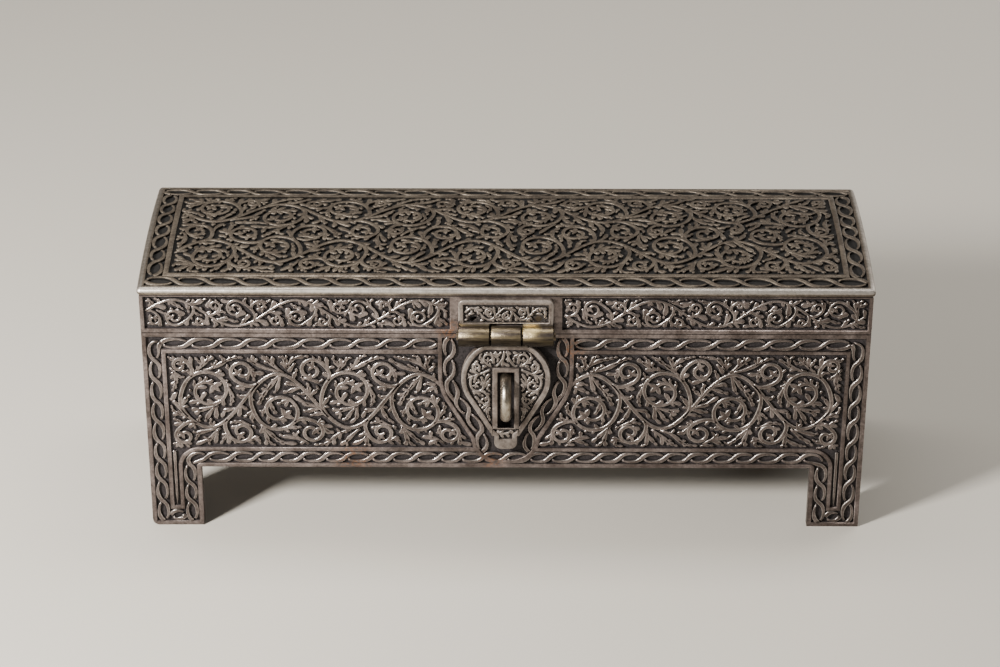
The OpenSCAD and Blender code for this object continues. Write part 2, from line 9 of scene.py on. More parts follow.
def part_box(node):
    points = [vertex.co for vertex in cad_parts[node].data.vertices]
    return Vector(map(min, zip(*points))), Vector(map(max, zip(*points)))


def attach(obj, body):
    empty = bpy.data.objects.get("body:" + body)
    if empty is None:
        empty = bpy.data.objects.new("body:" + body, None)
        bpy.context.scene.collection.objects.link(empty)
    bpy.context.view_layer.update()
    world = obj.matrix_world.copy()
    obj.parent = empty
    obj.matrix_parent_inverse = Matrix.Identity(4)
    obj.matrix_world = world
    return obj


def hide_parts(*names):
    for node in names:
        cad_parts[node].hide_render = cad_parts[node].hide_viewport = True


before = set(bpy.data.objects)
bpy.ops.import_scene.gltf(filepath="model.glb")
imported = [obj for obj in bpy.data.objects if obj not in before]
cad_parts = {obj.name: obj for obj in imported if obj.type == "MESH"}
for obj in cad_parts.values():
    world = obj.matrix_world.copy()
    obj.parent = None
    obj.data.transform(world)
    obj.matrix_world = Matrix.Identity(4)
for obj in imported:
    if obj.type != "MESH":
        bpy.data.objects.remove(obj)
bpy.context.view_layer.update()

# Walls: four 3 mm steel plates with a foot at each end, mitred and soldered at the corners.
# Borders, fillets and grounds were cut back with the chisel by hand, so every arris is
# worn round, the tops are rubbed bright and the grounds are left black.
MM = 0.001
CASE_L, CASE_W, CASE_Y, SEAM_Z = 220.0, 67.5, 2.0, 68.6
FOOT_W, FOOT_H = 16.0, 21.3
CARVE_D = 0.9
ARRIS = 0.22
# How near counts as on a face or a mitre, and the reach of the foot that has lost its corner.
ON_FACE, ON_MITRE, WORN_FOOT = 0.05, 0.02, 2.6
# Points merged within a distance, and the turns in degrees that are flat and that are an edge.
MERGE, FLAT_TURN, SHARP_TURN = 0.002, 0.03, 35.0
WORN_STEEL, BROWN_STEEL, BARE_STEEL = "887d7a", "574d49", "fbf5ee"
# The second ground colour is dirt and painted crevice shade, laid beside each line where it meets the ground.
GROUND, CREVICE_DIRT_AND_SHADE = "241f21", "080707"
# Relief of the grounds and of a plate's inside, which starts at so many carving depths.
GROUND_RELIEF, INSIDE_RELIEF, INSIDE_FROM = 0.42, 0.75, 1.3
# Sizes of brown patches, hammer dents, grit and pecks, and the height of the bump.
PATCH, DENT, GRIT, PECK, BUMP_D = 7.0, 2.6, 0.9, 0.5, 0.17
# Along the box, from the first x to the second, the tops turn brown: painted shade of the light falling off
# to the right.
FALLOFF_SHADE_FROM, FALLOFF_SHADE_TO = -40.0, 100.0
# Rust spots on the front: the middle of each, and its reach.
RUST = "7c5231"
RUST_SPOTS = ((-47.0, -31.0, 24.5, 8.0), (-4.0, -31.0, 24.0, 5.0),
              (-17.0, -31.7, 69.5, 5.0), (19.0, -31.7, 63.0, 6.0))


def linear(colour):
    """sRGB hex to linear: below 0.04045 a straight line, above it a power of 2.4."""
    c = np.array([int(colour[k:k + 2], 16) / 255 for k in (0, 2, 4)])
    c = np.where(c <= 0.04045, c / 12.92, ((c + 0.055) / 1.055) ** 2.4)
    return (*c, 1.0)


def add_node(tree, kind, options=(), inputs=()):
    """Adds a shader node, sets its options, and links each input given as a socket or sets it."""
    n = tree.nodes.new("ShaderNode" + kind)
    for key, value in dict(options).items():
        setattr(n, key, value)
    for key, value in dict(inputs).items():
        if isinstance(value, bpy.types.NodeSocket):
            tree.links.new(value, n.inputs[key])
        else:
            n.inputs[key].default_value = value
    return n


def new_material(name):
    """An empty material with its node tree and a Principled shader on its output."""
    material = bpy.data.materials.new(name)
    material.use_nodes = True
    tree = material.node_tree
    tree.nodes.clear()
    shader = add_node(tree, "BsdfPrincipled")
    add_node(tree, "OutputMaterial", {}, {"Surface": shader.outputs["BSDF"]})
    return material, tree, shader


def rusted(tree, colour, where, grit, bared, spots):
    """A colour with specks of rust on what is bared: thickest near each spot, and none beyond its reach."""
    for x, y, z, reach in spots:
        away = add_node(tree, "VectorMath", {"operation": "DISTANCE"}, {
            0: where, 1: (x * MM, y * MM, z * MM)}).outputs["Value"]
        near = add_node(tree, "MapRange", {}, {
            "Value": away, "From Min": reach * MM, "From Max": 0.2 * reach * MM}).outputs["Result"]
        specks = add_node(tree, "MapRange", {}, {
            "Value": grit, "From Min": 0.44, "From Max": 0.6, "To Max": 0.75}).outputs["Result"]
        bloom = add_node(tree, "Math", {"operation": "MULTIPLY"}, {0: near, 1: specks}).outputs[0]
        bloom = add_node(tree, "Math", {"operation": "MULTIPLY"}, {0: bloom, 1: bared}).outputs[0]
        colour = add_node(tree, "Mix", {"data_type": "RGBA"}, {
            0: bloom, 6: colour, 7: linear(RUST)}).outputs[2]
    return colour


def chiselled_steel(name, tops, brown, ground, rough=0.37, edge_rough=0.15, metallic=0.72, rust_spots=()):
    """Chiselled steel, shaded by the attribute relief: 0 beside a line, darkened by dirt and painted crevice
    shade,
    0.42 on a ground, 1 on a worn top and 2 on a polished edge."""
    # It gives the eye satin grey tops with brown patches that deepen to the right as painted shade where the
    # light falls off, black pecked grounds and white edges. Grit and pecks are drawn several times coarser
    # than the real pits, which would not show.
    material, tree, shader = new_material(name)
    where = add_node(tree, "TexCoord").outputs["Object"]
    relief = add_node(tree, "Attribute", {"attribute_name": "relief"}).outputs["Fac"]
    patches = add_node(tree, "TexNoise", {}, {
        "Vector": where, "Scale": 1 / (PATCH * MM), "Detail": 6.0, "Roughness": 0.65}).outputs["Fac"]
    grit = add_node(tree, "TexNoise", {}, {
        "Vector": where, "Scale": 1 / (GRIT * MM), "Detail": 4.0, "Roughness": 0.7}).outputs["Fac"]
    rubbed = add_node(tree, "Math", {"operation": "MULTIPLY_ADD"}, {0: grit, 1: 0.55, 2: relief}).outputs[0]
    swept = add_node(tree, "MapRange", {"interpolation_type": "SMOOTHSTEP"}, {
        "Value": rubbed, "From Min": 0.32, "From Max": 0.68}).outputs["Result"]
    bared = add_node(tree, "MapRange", {"interpolation_type": "SMOOTHSTEP"}, {
        "Value": rubbed, "From Min": 0.78, "From Max": 1.2}).outputs["Result"]
    polish = add_node(tree, "MapRange", {}, {
        "Value": relief, "From Min": 1.05, "From Max": 1.9}).outputs["Result"]
    stain_and_falloff_shade = add_node(tree, "MapRange", {}, {
        "Value": patches, "From Min": 0.38, "From Max": 0.64}).outputs["Result"]
    # Painted shade: brown deepens towards the right end, where the light falls off; it also roughens the
    # tops.
    along_box = add_node(tree, "SeparateXYZ", {}, {"Vector": where}).outputs["X"]
    painted_falloff_shade = add_node(tree, "MapRange", {}, {
        "Value": along_box, "From Min": FALLOFF_SHADE_FROM * MM, "From Max": FALLOFF_SHADE_TO * MM,
        "To Max": 0.45}).outputs["Result"]
    stain_and_falloff_shade = add_node(tree, "Math", {"operation": "ADD", "use_clamp": True}, {0: stain_and_falloff_shade, 1: painted_falloff_shade}).outputs[0]
    steel = add_node(tree, "Mix", {"data_type": "RGBA"}, {
        0: stain_and_falloff_shade, 6: linear(tops), 7: linear(brown)}).outputs[2]
    bright = add_node(tree, "Math", {"operation": "POWER"}, {0: polish, 1: 2.0}).outputs[0]
    steel = add_node(tree, "Mix", {"data_type": "RGBA"}, {
        0: bright, 6: steel, 7: linear(BARE_STEEL)}).outputs[2]
    shade = add_node(tree, "MapRange", {}, {
        "Value": grit, "From Min": 0.3, "From Max": 0.68, "To Min": 0.5, "To Max": 1.16}).outputs["Result"]
    # Beside each line, where relief is lowest, the ground goes to near black: dirt and painted crevice shade.
    sunk = add_node(tree, "Mix", {"data_type": "RGBA"}, {
        0: swept, 6: linear(CREVICE_DIRT_AND_SHADE), 7: linear(ground)}).outputs[2]
    colour = add_node(tree, "Mix", {"data_type": "RGBA"}, {0: bared, 6: sunk, 7: steel}).outputs[2]
    pecks = add_node(tree, "TexNoise", {}, {
        "Vector": where, "Scale": 1 / (PECK * MM), "Detail": 1.0}).outputs["Fac"]
    struck = add_node(tree, "MapRange", {}, {
        "Value": pecks, "From Min": 0.35, "From Max": 0.65, "To Min": 0.45, "To Max": 1.5}).outputs["Result"]
    shade = add_node(tree, "Mix", {}, {0: bared, 2: struck, 3: shade}).outputs[0]
    shade = add_node(tree, "Mix", {}, {0: bright, 2: shade, 3: 1.0}).outputs[0]
    colour = add_node(tree, "VectorMath", {"operation": "SCALE"}, {0: colour, "Scale": shade}).outputs[0]
    colour = rusted(tree, colour, where, grit, bared, rust_spots)
    dull = add_node(tree, "MapRange", {}, {
        "Value": bared, "To Min": 0.68, "To Max": rough}).outputs["Result"]
    dull = add_node(tree, "Math", {"operation": "MULTIPLY_ADD"}, {
        0: polish, 1: edge_rough - rough, 2: dull}).outputs[0]
    dull = add_node(tree, "Math", {"operation": "MULTIPLY_ADD"}, {0: stain_and_falloff_shade, 1: 0.10, 2: dull}).outputs[0]
    metal = add_node(tree, "MapRange", {}, {
        "Value": bared, "To Min": 0.15, "To Max": metallic}).outputs["Result"]
    metal = add_node(tree, "Math", {"operation": "MULTIPLY_ADD", "use_clamp": True}, {
        0: polish, 1: 0.4, 2: metal}).outputs[0]
    dents = add_node(tree, "TexNoise", {}, {
        "Vector": where, "Scale": 1 / (DENT * MM), "Detail": 2.0}).outputs["Fac"]
    uneven = add_node(tree, "Math", {"operation": "MULTIPLY_ADD"}, {0: dents, 1: 1.5, 2: grit}).outputs[0]
    rubbed_down = add_node(tree, "MapRange", {}, {
        "Value": polish, "To Min": 0.6, "To Max": 0.2}).outputs["Result"]
    bump = add_node(tree, "Bump", {}, {"Height": uneven, "Strength": rubbed_down, "Distance": BUMP_D * MM})
    for socket, source in (("Base Color", colour), ("Roughness", dull), ("Metallic", metal),
                           ("Normal", bump.outputs["Normal"])):
        tree.links.new(source, shader.inputs[socket])
    return material


def add_piece(name, mesh, relief, material, body):
    """Puts a finished mesh in the scene: relief on its points, smooth, with its material and body."""
    mesh.attributes.new("relief", "FLOAT", "POINT").data.foreach_set("value", relief.astype(np.float32))
    mesh.shade_smooth()
    mesh.materials.append(material)
    piece = bpy.data.objects.new(name, mesh)
    bpy.context.scene.collection.objects.link(piece)
    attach(piece, body)
    return piece


def worn_plate(node, body, material, relief, shown, arris=ARRIS, holed=False):
    """A copy of a CAD node, merged to whole faces, or to triangles where its face is holed, with relief set
    on its points. The sharp edges that shown picks, by their two ends, carry a bevel."""
    mesh = bpy.data.meshes.new("worn_" + node)
    bm = bmesh.new()
    bm.from_mesh(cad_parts[node].data)
    bmesh.ops.remove_doubles(bm, verts=bm.verts, dist=MERGE * MM)
    bmesh.ops.dissolve_limit(bm, angle_limit=math.radians(FLAT_TURN), verts=bm.verts, edges=bm.edges)
    if holed:
        bmesh.ops.triangulate(bm, faces=[face for face in bm.faces if len(face.verts) > 4])
    sharp = np.array([edge.calc_face_angle(0.0) for edge in bm.edges]) > math.radians(SHARP_TURN)
    bm.to_mesh(mesh)
    bm.free()
    points = np.empty(len(mesh.vertices) * 3, np.float32)
    mesh.vertices.foreach_get("co", points)
    points = points.reshape(-1, 3) / MM
    ends = np.empty(len(mesh.edges) * 2, np.int32)
    mesh.edges.foreach_get("vertices", ends)
    weight = (sharp & shown(*points[ends.reshape(-1, 2).T].transpose(0, 2, 1))).astype(np.float32)
    mesh.attributes.new("bevel_weight_edge", "FLOAT", "EDGE").data.foreach_set("value", weight)
    mesh.attributes.new("sharp_edge", "BOOLEAN", "EDGE").data.foreach_set("value", sharp & (weight == 0))
    plate = add_piece("worn_" + node, mesh, relief(*points.T), material, body)
    soft = plate.modifiers.new("worn_arris", "BEVEL")
    soft.width, soft.segments, soft.limit_method = arris * MM, 2, "WEIGHT"
    soft.use_clamp_overlap, soft.harden_normals, soft.loop_slide = False, True, False
    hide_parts(node)


def wall_depths(x, y):
    """Depths of a point behind the end faces and behind the long faces of the case."""
    return CASE_L / 2 - np.abs(x), CASE_W / 2 - np.abs(y - CASE_Y)


def wall_arrises(a, b):
    """Edges in the face of a wall, but for those on its mitres and at the foot with the worn corner."""
    picked = np.ones(a.shape[1], bool)
    mitred, worn = picked.copy(), picked.copy()
    for point in (a, b):
        ends, sides = wall_depths(point[0], point[1])
        picked &= np.minimum(ends, sides) < ON_FACE
        mitred &= np.abs(ends - sides) < ON_MITRE
        worn &= (point[0] < WORN_FOOT - CASE_L / 2) & (point[2] < WORN_FOOT)
    return picked & ~mitred & ~worn


def relief_at(depth):
    """1 on the face of a plate, falling evenly to the grounds' value at their depth; the inside of the plate
    counts as worn."""
    fall = np.interp(depth, (0, CARVE_D), (1, GROUND_RELIEF))
    return np.where(depth > INSIDE_FROM * CARVE_D, INSIDE_RELIEF, fall)


def wall_relief(x, y, z):
    """Relief by the depth behind the nearest outer face of the case, the same at every height."""
    return relief_at(np.minimum(*wall_depths(x, y)))


case_steel = chiselled_steel("chiselled_steel_case", WORN_STEEL, BROWN_STEEL, GROUND, rust_spots=RUST_SPOTS)
for wall in ("front_wall", "back_wall", "left_wall", "right_wall"):
    worn_plate(wall, "box", case_steel, wall_relief, wall_arrises)

# Twisted bands of the front wall: two strands of steel left standing in the sunk band, one over
# the other at each crossing, along the edges, round the legs and down both sides of the hasp.
EDGE_W, BAND_W, FILLET_W = 1.4, 4.3, 1.3
BAND_IN = EDGE_W + BAND_W / 2
FIELD_IN = EDGE_W + BAND_W + FILLET_W
# Strands: their width, how steeply they cross, the round of the frame's corners, and the pitch of each run.
STRAND_W, STEEP, TURN_R = 1.3, 0.8, 2.2
TOP_PITCH, RISE_PITCH, FOOT_PITCH, LEG_PITCH, SHIELD_PITCH = 8.5, 7.35, 7.0, 7.1, 6.6
# Share of its width that a strand keeps and gains where it is over, its top, and its dip in carving depths.
STRAND_MEAN, STRAND_SWELL, STRAND_TOP, STRAND_UNDER, SIDE_CLEAR = 0.78, 0.27, -0.05, 1.1, 0.02
# Distances from a crossing over which the dip ends, and the share of a pitch that crossings drift by.
CROSS_NEAR, CROSS_FAR, DRIFT = 0.55, 0.9, 0.035
# The hand's unevenness: its share of a width, and its slow waver along a band and along a line.
UNEVEN, WAVER, WAVER_STEP = 0.07, 2.3, 0.37
# A line's points are this far apart; it starts this far below the ground and is at least this high.
LINE_STEP, ROOTED, LEAST_H = 0.45, 0.12, 0.02
# Profile of a line: how far across, how high, and how much more its shoulders are rubbed.
CROWN = np.array([(-1.06, 0, 0), (-1.0, 0.55, 0), (-0.9, 0.84, 0.85), (-0.74, 0.97, 0.75), (-0.4, 1, 0.1),
                  (0.4, 1, 0.1), (0.74, 0.97, 0.75), (0.9, 0.84, 0.85), (1.0, 0.55, 0), (1.06, 0, 0)])
# Outline of the hasp's drop, and the gap between it and the band that follows it.
BELLY_Z, BELLY_R, TAPER_Z, TAPER_X, TONGUE_X, TIP_Z = 54.5, 13.5, 34.4, 4.1, 3.5, 29.8
SHIELD_GAP = 1.5


def flat_face(origin, way, out):
    """Places (u, v, h) on an upright face: origin, plus u along it, plus v up, plus h out of it."""
    o, a, n = (np.array(k, float) for k in (origin, way, out))
    up = np.array((0.0, 0.0, 1.0))
    return lambda u, v, h: o + u[..., None] * a + v[..., None] * up + h[..., None] * n


def along(points, step):
    """Even places on a broken line: each coordinate read off against the length so far."""
    points = np.asarray(points, float)
    run = np.concatenate([[0.0], np.cumsum(np.hypot(*np.diff(points, axis=0).T))])
    s = np.linspace(0.0, run[-1], max(3, int(run[-1] / step) + 1))
    return s, np.stack([np.interp(s, run, points[:, k]) for k in (0, 1)], 1)


def unit(ways):
    """Each way divided by its own length."""
    return ways / np.maximum(np.hypot(*ways.T), 1e-9)[:, None]


def left_of(path):
    """Offsets to the left of a path: the sum of the two segments' normals, lengthened as a mitre is."""
    step = unit(np.diff(path, axis=0))
    before, after = np.vstack([step[:1], step]), np.vstack([step, step[-1:]])
    both = before + after
    return np.stack([-both[:, 1], both[:, 0]], 1) / np.maximum(1 + np.sum(before * after, 1), 0.5)[:, None]


def ease(x, low, high):
    """0 below low and 1 above high, by three x squared less two x cubed in between."""
    t = np.clip((x - low) / (high - low), 0, 1)
    return t * t * (3 - 2 * t)


def arc(centre, radius, start, end, count=24):
    """Points on a circle from one angle in degrees to another."""
    a = np.radians(np.linspace(start, end, count))
    return np.stack([centre[0] + radius * np.cos(a), centre[1] + radius * np.sin(a)], 1)


def twist(points, lean, pitch, seed, width=BAND_W, strand=STRAND_W):
    """Two strands whose distance from the band's middle is plus or minus a sine of the way along it, pressed
    flat along the edges and steep at the crossings. At each crossing the strand that falls against lean thins
    and dips below the ground, and the other passes over it, full and wide."""
    rng = np.random.default_rng(seed)
    s, middle = along(points, LINE_STEP)
    eyes = max(1, round(s[-1] / pitch))
    crossing = np.linspace(0.0, s[-1], eyes + 1)
    crossing[1:-1] += rng.normal(0.0, DRIFT * pitch, eyes - 1)
    turn = np.interp(s, crossing, np.arange(eyes + 1.0))
    near = np.abs(turn - np.round(turn)) * s[-1] / eyes
    wave = np.sin(np.pi * turn)
    pressed = np.sqrt((1 + STEEP ** 2) / (wave ** 2 + STEEP ** 2))
    swing = (width / 2 - strand / 2 - SIDE_CLEAR) * wave * pressed
    strokes = []
    for side in (1, -1):
        over = np.cos(np.pi * turn) * side * lean
        dip = np.where(over < 0, 1 - ease(near, CROSS_NEAR, CROSS_FAR), 0.0)
        uneven = 1 + UNEVEN * np.sin(s / WAVER + rng.uniform(0, 6))
        half = strand / 2 * (STRAND_MEAN + STRAND_SWELL * over) * uneven
        path = middle + left_of(middle) * (side * swing)[:, None]
        strokes.append((path, half, STRAND_TOP - STRAND_UNDER * CARVE_D * dip))
    return strokes


def carved(name, place, strokes, body, material, deep=CARVE_D, crown=CROWN):
    """Lines left standing in a ground: the crowned profile carried along each path, as wide and as high as
    its stroke says and a little uneven, from just below the ground; both ends are closed across it."""
    parts, quads, heights, first = [], [], [], 0
    low = -deep - ROOTED
    rim = len(crown)
    for path, half, top in strokes:
        side = left_of(path)
        uneven = 1 + UNEVEN * np.sin(WAVER_STEP * np.arange(len(path)) + first)
        wide = np.multiply.outer(half * uneven, crown[:, 0])
        tall = np.maximum(top * np.ones(len(path)), low + LEAST_H) - low
        high = low + np.multiply.outer(tall, crown[:, 1])
        u, v = (path[:, k, None] + side[:, k, None] * wide for k in (0, 1))
        parts.append(place(u, v, high).reshape(-1, 3))
        heights.append((np.clip(1 + high / deep, 0, 1) * (1 + crown[:, 2])).ravel())
        ring = np.arange(len(path) - 1)[:, None] * rim
        j = np.arange(rim)
        k = (j + 1) % rim
        quads.append(first + np.stack([ring + j, ring + rim + j, ring + rim + k, ring + k], 2).reshape(-1, 4))
        cap = np.stack([j, j + 1, rim - 2 - j, rim - 1 - j], 1)[:rim // 2 - 1]
        quads.append(first + cap)
        quads.append(first + (len(path) - 1) * rim + cap[:, ::-1])
        first += len(path) * rim
    mesh = bpy.data.meshes.new(name)
    mesh.from_pydata(np.concatenate(parts) * MM, [], np.concatenate(quads))
    add_piece(name, mesh, np.concatenate(heights), material, body)


def leg_band(half_l):
    """The middle of the lower band: up the inside of one leg, round its corner, and so down the other."""
    x, z = half_l - FOOT_W, FOOT_H
    left = np.vstack([[(-x - BAND_IN, EDGE_W)], arc((-x, z), BAND_IN, 180, 90)])
    return np.vstack([left, left[::-1] * (-1, 1)])


def frame_bands(half_l, tops, seed):
    """Twists of a wall's frame: the runs of the top band, up both ends and round their corners, the feet and
    the lower band."""
    strokes = []
    x, high = half_l - BAND_IN, SEAM_Z - BAND_IN
    for k, (start, end) in enumerate(tops):
        start, end = max(start, TURN_R - x), min(end, x - TURN_R)
        strokes += twist([(start, high), (end, high)], 1, TOP_PITCH, seed + k)
    rise = np.vstack([[(-x, EDGE_W)], arc((TURN_R - x, high - TURN_R), TURN_R, 180, 90)])
    strokes += twist(rise, 1, RISE_PITCH, seed + 10)
    strokes += twist(rise * (-1, 1), -1, RISE_PITCH, seed + 11)
    outer, inner = half_l - EDGE_W - BAND_W, half_l - FOOT_W + EDGE_W + BAND_W
    for side in (-1, 1):
        strokes += twist([(side * outer, BAND_IN), (side * inner, BAND_IN)], 1, FOOT_PITCH, seed + 12)
    return strokes + twist(leg_band(half_l), 1, LEG_PITCH, seed + 13)


def pear_edge():
    """Angle at the belly's middle, in radians, where the pear's round side passes into its straight taper."""
    fall = (TAPER_X, TAPER_Z - BELLY_Z)
    return math.atan2(fall[1], fall[0]) + math.acos(BELLY_R / math.hypot(*fall))


def pear_gap(u, v):
    """Distance out of the hasp's pear: from its belly's circle above the tangent, from its side below."""
    a, x = pear_edge(), np.abs(u)
    side = x * math.cos(a) + (v - BELLY_Z) * math.sin(a) - BELLY_R
    round_part = np.arctan2(v - BELLY_Z, x) > a
    return np.where(round_part, np.hypot(x, v - BELLY_Z) - BELLY_R, side)


front_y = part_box("front_wall")[0].y / MM
on_front = flat_face((0, front_y, 0), (1, 0, 0), (0, -1, 0))
shield_x = BELLY_R + SHIELD_GAP + BAND_W + FILLET_W
far = CASE_L / 2 - EDGE_W
front_twists = frame_bands(CASE_L / 2, ((-far, -shield_x), (shield_x, far)), 1)
off = SHIELD_GAP + BAND_W / 2
edge_turn = math.degrees(pear_edge())
shield_foot = FOOT_H + EDGE_W + BAND_W
shield_run = np.vstack([
    [(BELLY_R + off, SEAM_Z - EDGE_W)], arc((0, BELLY_Z), BELLY_R + off, 0, edge_turn),
    [(TAPER_X + off, TAPER_Z), (TONGUE_X + off, TIP_Z), (TONGUE_X + off, shield_foot)]])
front_twists += twist(shield_run * (-1, 1), -1, SHIELD_PITCH, 31)
front_twists += twist(shield_run, 1, SHIELD_PITCH, 32)
carved("front_twists", on_front, front_twists, "box", case_steel)

# Front cartouches: a waving stem with spiral branches and small leaves, chiselled from the same plate.
# Every line is left as high as the borders and rounded by wear.
# Lines: their width, the gap kept between them, their top, how much lower leaves are, and their tip's share.
SCROLL_W, GAP = 1.35, 0.4
TOP, LEAF_LOWER, LINE_TAPER = -0.03, 0.04, 0.85
# Spirals: turns, the share of the radius that they wind in, how far they sit in a hollow, and where and how
# soon they leave the stem; small ones turn more the larger they are.
COIL_TURNS, COIL_FALL, COIL_IN, COIL_COARSER, BRANCH_AT, BRANCH_TURN = 1.5, 0.68, 0.44, 1.6, 0.8, 0.11
SMALL_TURNS, TURNS_BY_RADIUS = 0.95, 0.07
SMALL_RADII = (5.6, 5.0, 4.4, 3.9, 3.4, 2.9, 2.5)
# Packing: how far a line is felt, the most leaves, and the places tried for a spiral and the room seen there.
REACH, MOST_LEAVES, TRIES, LOOK_ROUND, LOOK_MOST = 13.0, 1500, 80, 1.2, 2.5
# Buds: their length by that of the line, its least and most in line widths, and half their width.
BUD_BY_LENGTH, BUD_LEAST, BUD_MOST, BUD_HALF = 0.035, 1.1, 2.6, 0.26
# Borders: how far a line may run past one, how deep it dips there, and over what distance.
PAST_BORDER, DIP, DIP_OVER = 0.2, 1.3, 0.3
# The wall's own stem and spirals, and where its half of the field starts.
STEM_MARGIN, WALL_STEM_X, WALL_HOLLOWS, WALL_RISE, WALL_COIL_R = 1.5, 15.5, 4, 9.5, 8.0
WALL_FIELD_X = 10.0


def leaf(root, aim, length, half, bend=0.0):
    """A pointed leaf: its rib leaves root along aim and turns by bend; its width is a sine along it."""
    t = np.linspace(0, 1, 6)
    turn = aim + bend * (t[1:] - 0.5)
    steps = np.stack([np.cos(turn), np.sin(turn)], 1) * length / 5
    path = np.asarray(root, float) + np.vstack([[(0.0, 0.0)], np.cumsum(steps, 0)])
    return path, np.maximum(half * np.sin(np.pi * t ** 0.8) ** 0.75, 0.05), TOP - LEAF_LOWER


def winding(centre, radius, root, spin, turns):
    """A spiral about centre from root: its reach falls from there to the radius at once, and then evenly to
    about a third of it."""
    out = np.subtract(root, centre)
    length = 2.2 * np.pi * radius * turns
    s = np.linspace(0, 1, max(16, int(length / LINE_STEP / COIL_COARSER)))
    reach = radius * (1 - COIL_FALL * s) + (np.hypot(*out) - radius) * np.exp(-(s * turns / BRANCH_TURN) ** 2)
    a = math.atan2(out[1], out[0]) + spin * 2 * np.pi * turns * s
    return np.asarray(centre) + np.stack([reach * np.cos(a), reach * np.sin(a)], 1)


def main_lines(start, hollow, count, middle, rise, radius, flip=1):
    """A stem whose height is a sine of the way along, nothing at both ends of each hollow, and in every
    hollow a spiral that leaves the stem past its crest."""
    u = np.linspace(0, count * hollow, int(count * hollow / LINE_STEP))
    lines = [np.stack([start + u, middle + flip * rise * np.sin(np.pi * u / hollow)], 1)]
    for k in range(count):
        side, leaves_at = flip * (-1) ** k, k + BRANCH_AT
        centre = (start + (k + 0.5) * hollow, middle - side * COIL_IN * radius)
        root = (start + leaves_at * hollow, middle + flip * rise * math.sin(math.pi * leaves_at))
        lines.append(winding(centre, radius, root, -side, COIL_TURNS))
    return lines


def open_ground(room, corner, size, cell, gap):
    """A grid over a field with the free distance at each cell: at first to the border, less the gap kept."""
    u, v = (np.arange(c, c + s + cell, cell) for c, s in zip(corner, size))
    return u, v, np.minimum(room(*np.meshgrid(u, v)) - gap, REACH), gap


def press(ground, path, half):
    """Takes a new line out of the free distance, in the window that it can reach."""
    u, v, free, gap = ground
    low, high = path.min(0) - REACH - np.max(half), path.max(0) + REACH + np.max(half)
    (c0, c1), (r0, r1) = np.searchsorted(u, (low[0], high[0])), np.searchsorted(v, (low[1], high[1]))
    away = np.hypot(u[c0:c1][None, :, None] - path[:, 0], v[r0:r1][:, None, None] - path[:, 1]) - half
    if away.size:
        np.minimum(free[r0:r1, c0:c1], away.min(-1) - gap, out=free[r0:r1, c0:c1])


def free_at(ground, points):
    """Free distance at the nearest cell, or less than none outside the grid."""
    u, v, free, _ = ground
    cell = u[1] - u[0]
    c = np.rint((points[..., 0] - u[0]) / cell).astype(int)
    r = np.rint((points[..., 1] - v[0]) / cell).astype(int)
    inside = (c >= 0) & (c < len(u)) & (r >= 0) & (r < len(v))
    return np.where(inside, free[r.clip(0, len(v) - 1), c.clip(0, len(u) - 1)], -1.0)


def bud(line, size):
    """Three leaves at the end of a line, fanned about the way it runs."""
    aim = math.atan2(*(line[-1] - line[-2])[::-1])
    return [leaf(line[-1], aim + b, size, BUD_HALF * size, b) for b in (-1.0, 0.0, 1.0)]


def branch(centre, radius, parents):
    """A small spiral that leaves the nearest line the way that line runs."""
    points = np.vstack(parents)
    ways = np.vstack([np.gradient(line, axis=0) for line in parents])
    k = np.argmin(np.hypot(*(points - centre).T))
    out = points[k] - centre
    spin = 1 if out[0] * ways[k, 1] > out[1] * ways[k, 0] else -1
    return winding(centre, radius, points[k], spin, SMALL_TURNS + TURNS_BY_RADIUS * radius)


def sprout(ground, centre, gap, points, ways, widest):
    """A leaf from the nearest line into a gap. Its rib is a parabola that leaves the line along its way,
    turns into the gap and ends where there is most room; it swells to a round head. Its lengths are shares
    of the gap."""
    k = np.argmin(np.hypot(*(points - centre).T))
    ahead, across = ways[k], centre - points[k]
    across = across / max(np.hypot(*across), 1e-6)
    turns = np.radians((-50, -20, 10, 40, 70))
    fan = np.multiply.outer(np.cos(turns), ahead) + np.multiply.outer(np.sin(turns), across)
    ends = centre + 1.1 * gap * fan
    end = ends[np.argmax(free_at(ground, ends))]
    root = points[k] - (0.9 * gap + 0.5) * ahead
    bend = points[k] + 0.55 * gap * across
    t = np.array((0, 0.25, 0.5, 0.75, 0.92, 1))
    path = np.stack([(1 - t) ** 2, 2 * t * (1 - t), t ** 2], 1) @ np.stack([root, bend, end])
    head = min(0.2 + 0.6 * gap, widest)
    blunt = np.sqrt(np.clip(1 - (np.maximum(t, 0.75) - 0.75) ** 2 * 15.5, 0.02, 1))
    return path, head * (0.5 + 0.5 * ease(t, 0.3, 0.75)) * blunt, TOP - LEAF_LOWER


def small_leaves(ground, lines, least, widest):
    """Leaves in what is left: the widest gap takes a leaf from the line beside it, until none is wider than
    least."""
    u, v, free, _ = ground
    points, ways = np.vstack(lines), unit(np.vstack([np.gradient(line, axis=0) for line in lines]))
    leaves = []
    while free.max() > least and len(leaves) < MOST_LEAVES:
        row, col = np.unravel_index(np.argmax(free), free.shape)
        path, half, top = sprout(ground, np.array((u[col], v[row])), free[row, col], points, ways, widest)
        leaves.append((path, half, top))
        press(ground, path, half)
        free[row, col] = -1
        points, ways = np.vstack([points, path]), np.vstack([ways, unit(np.gradient(path, axis=0))])
    return leaves


def kept_inside(strokes, room):
    """The same strokes, cut off where they would leave the panel and dipped below ground at its border."""
    kept = []
    for path, half, top in strokes:
        inside = room(*path.T) > -PAST_BORDER
        if inside.sum() > 2:
            path, half = path[inside], half[inside]
            kept.append((path, half, top - DIP * (1 - ease(room(*path.T) - half, 0.0, DIP_OVER))))
    return kept


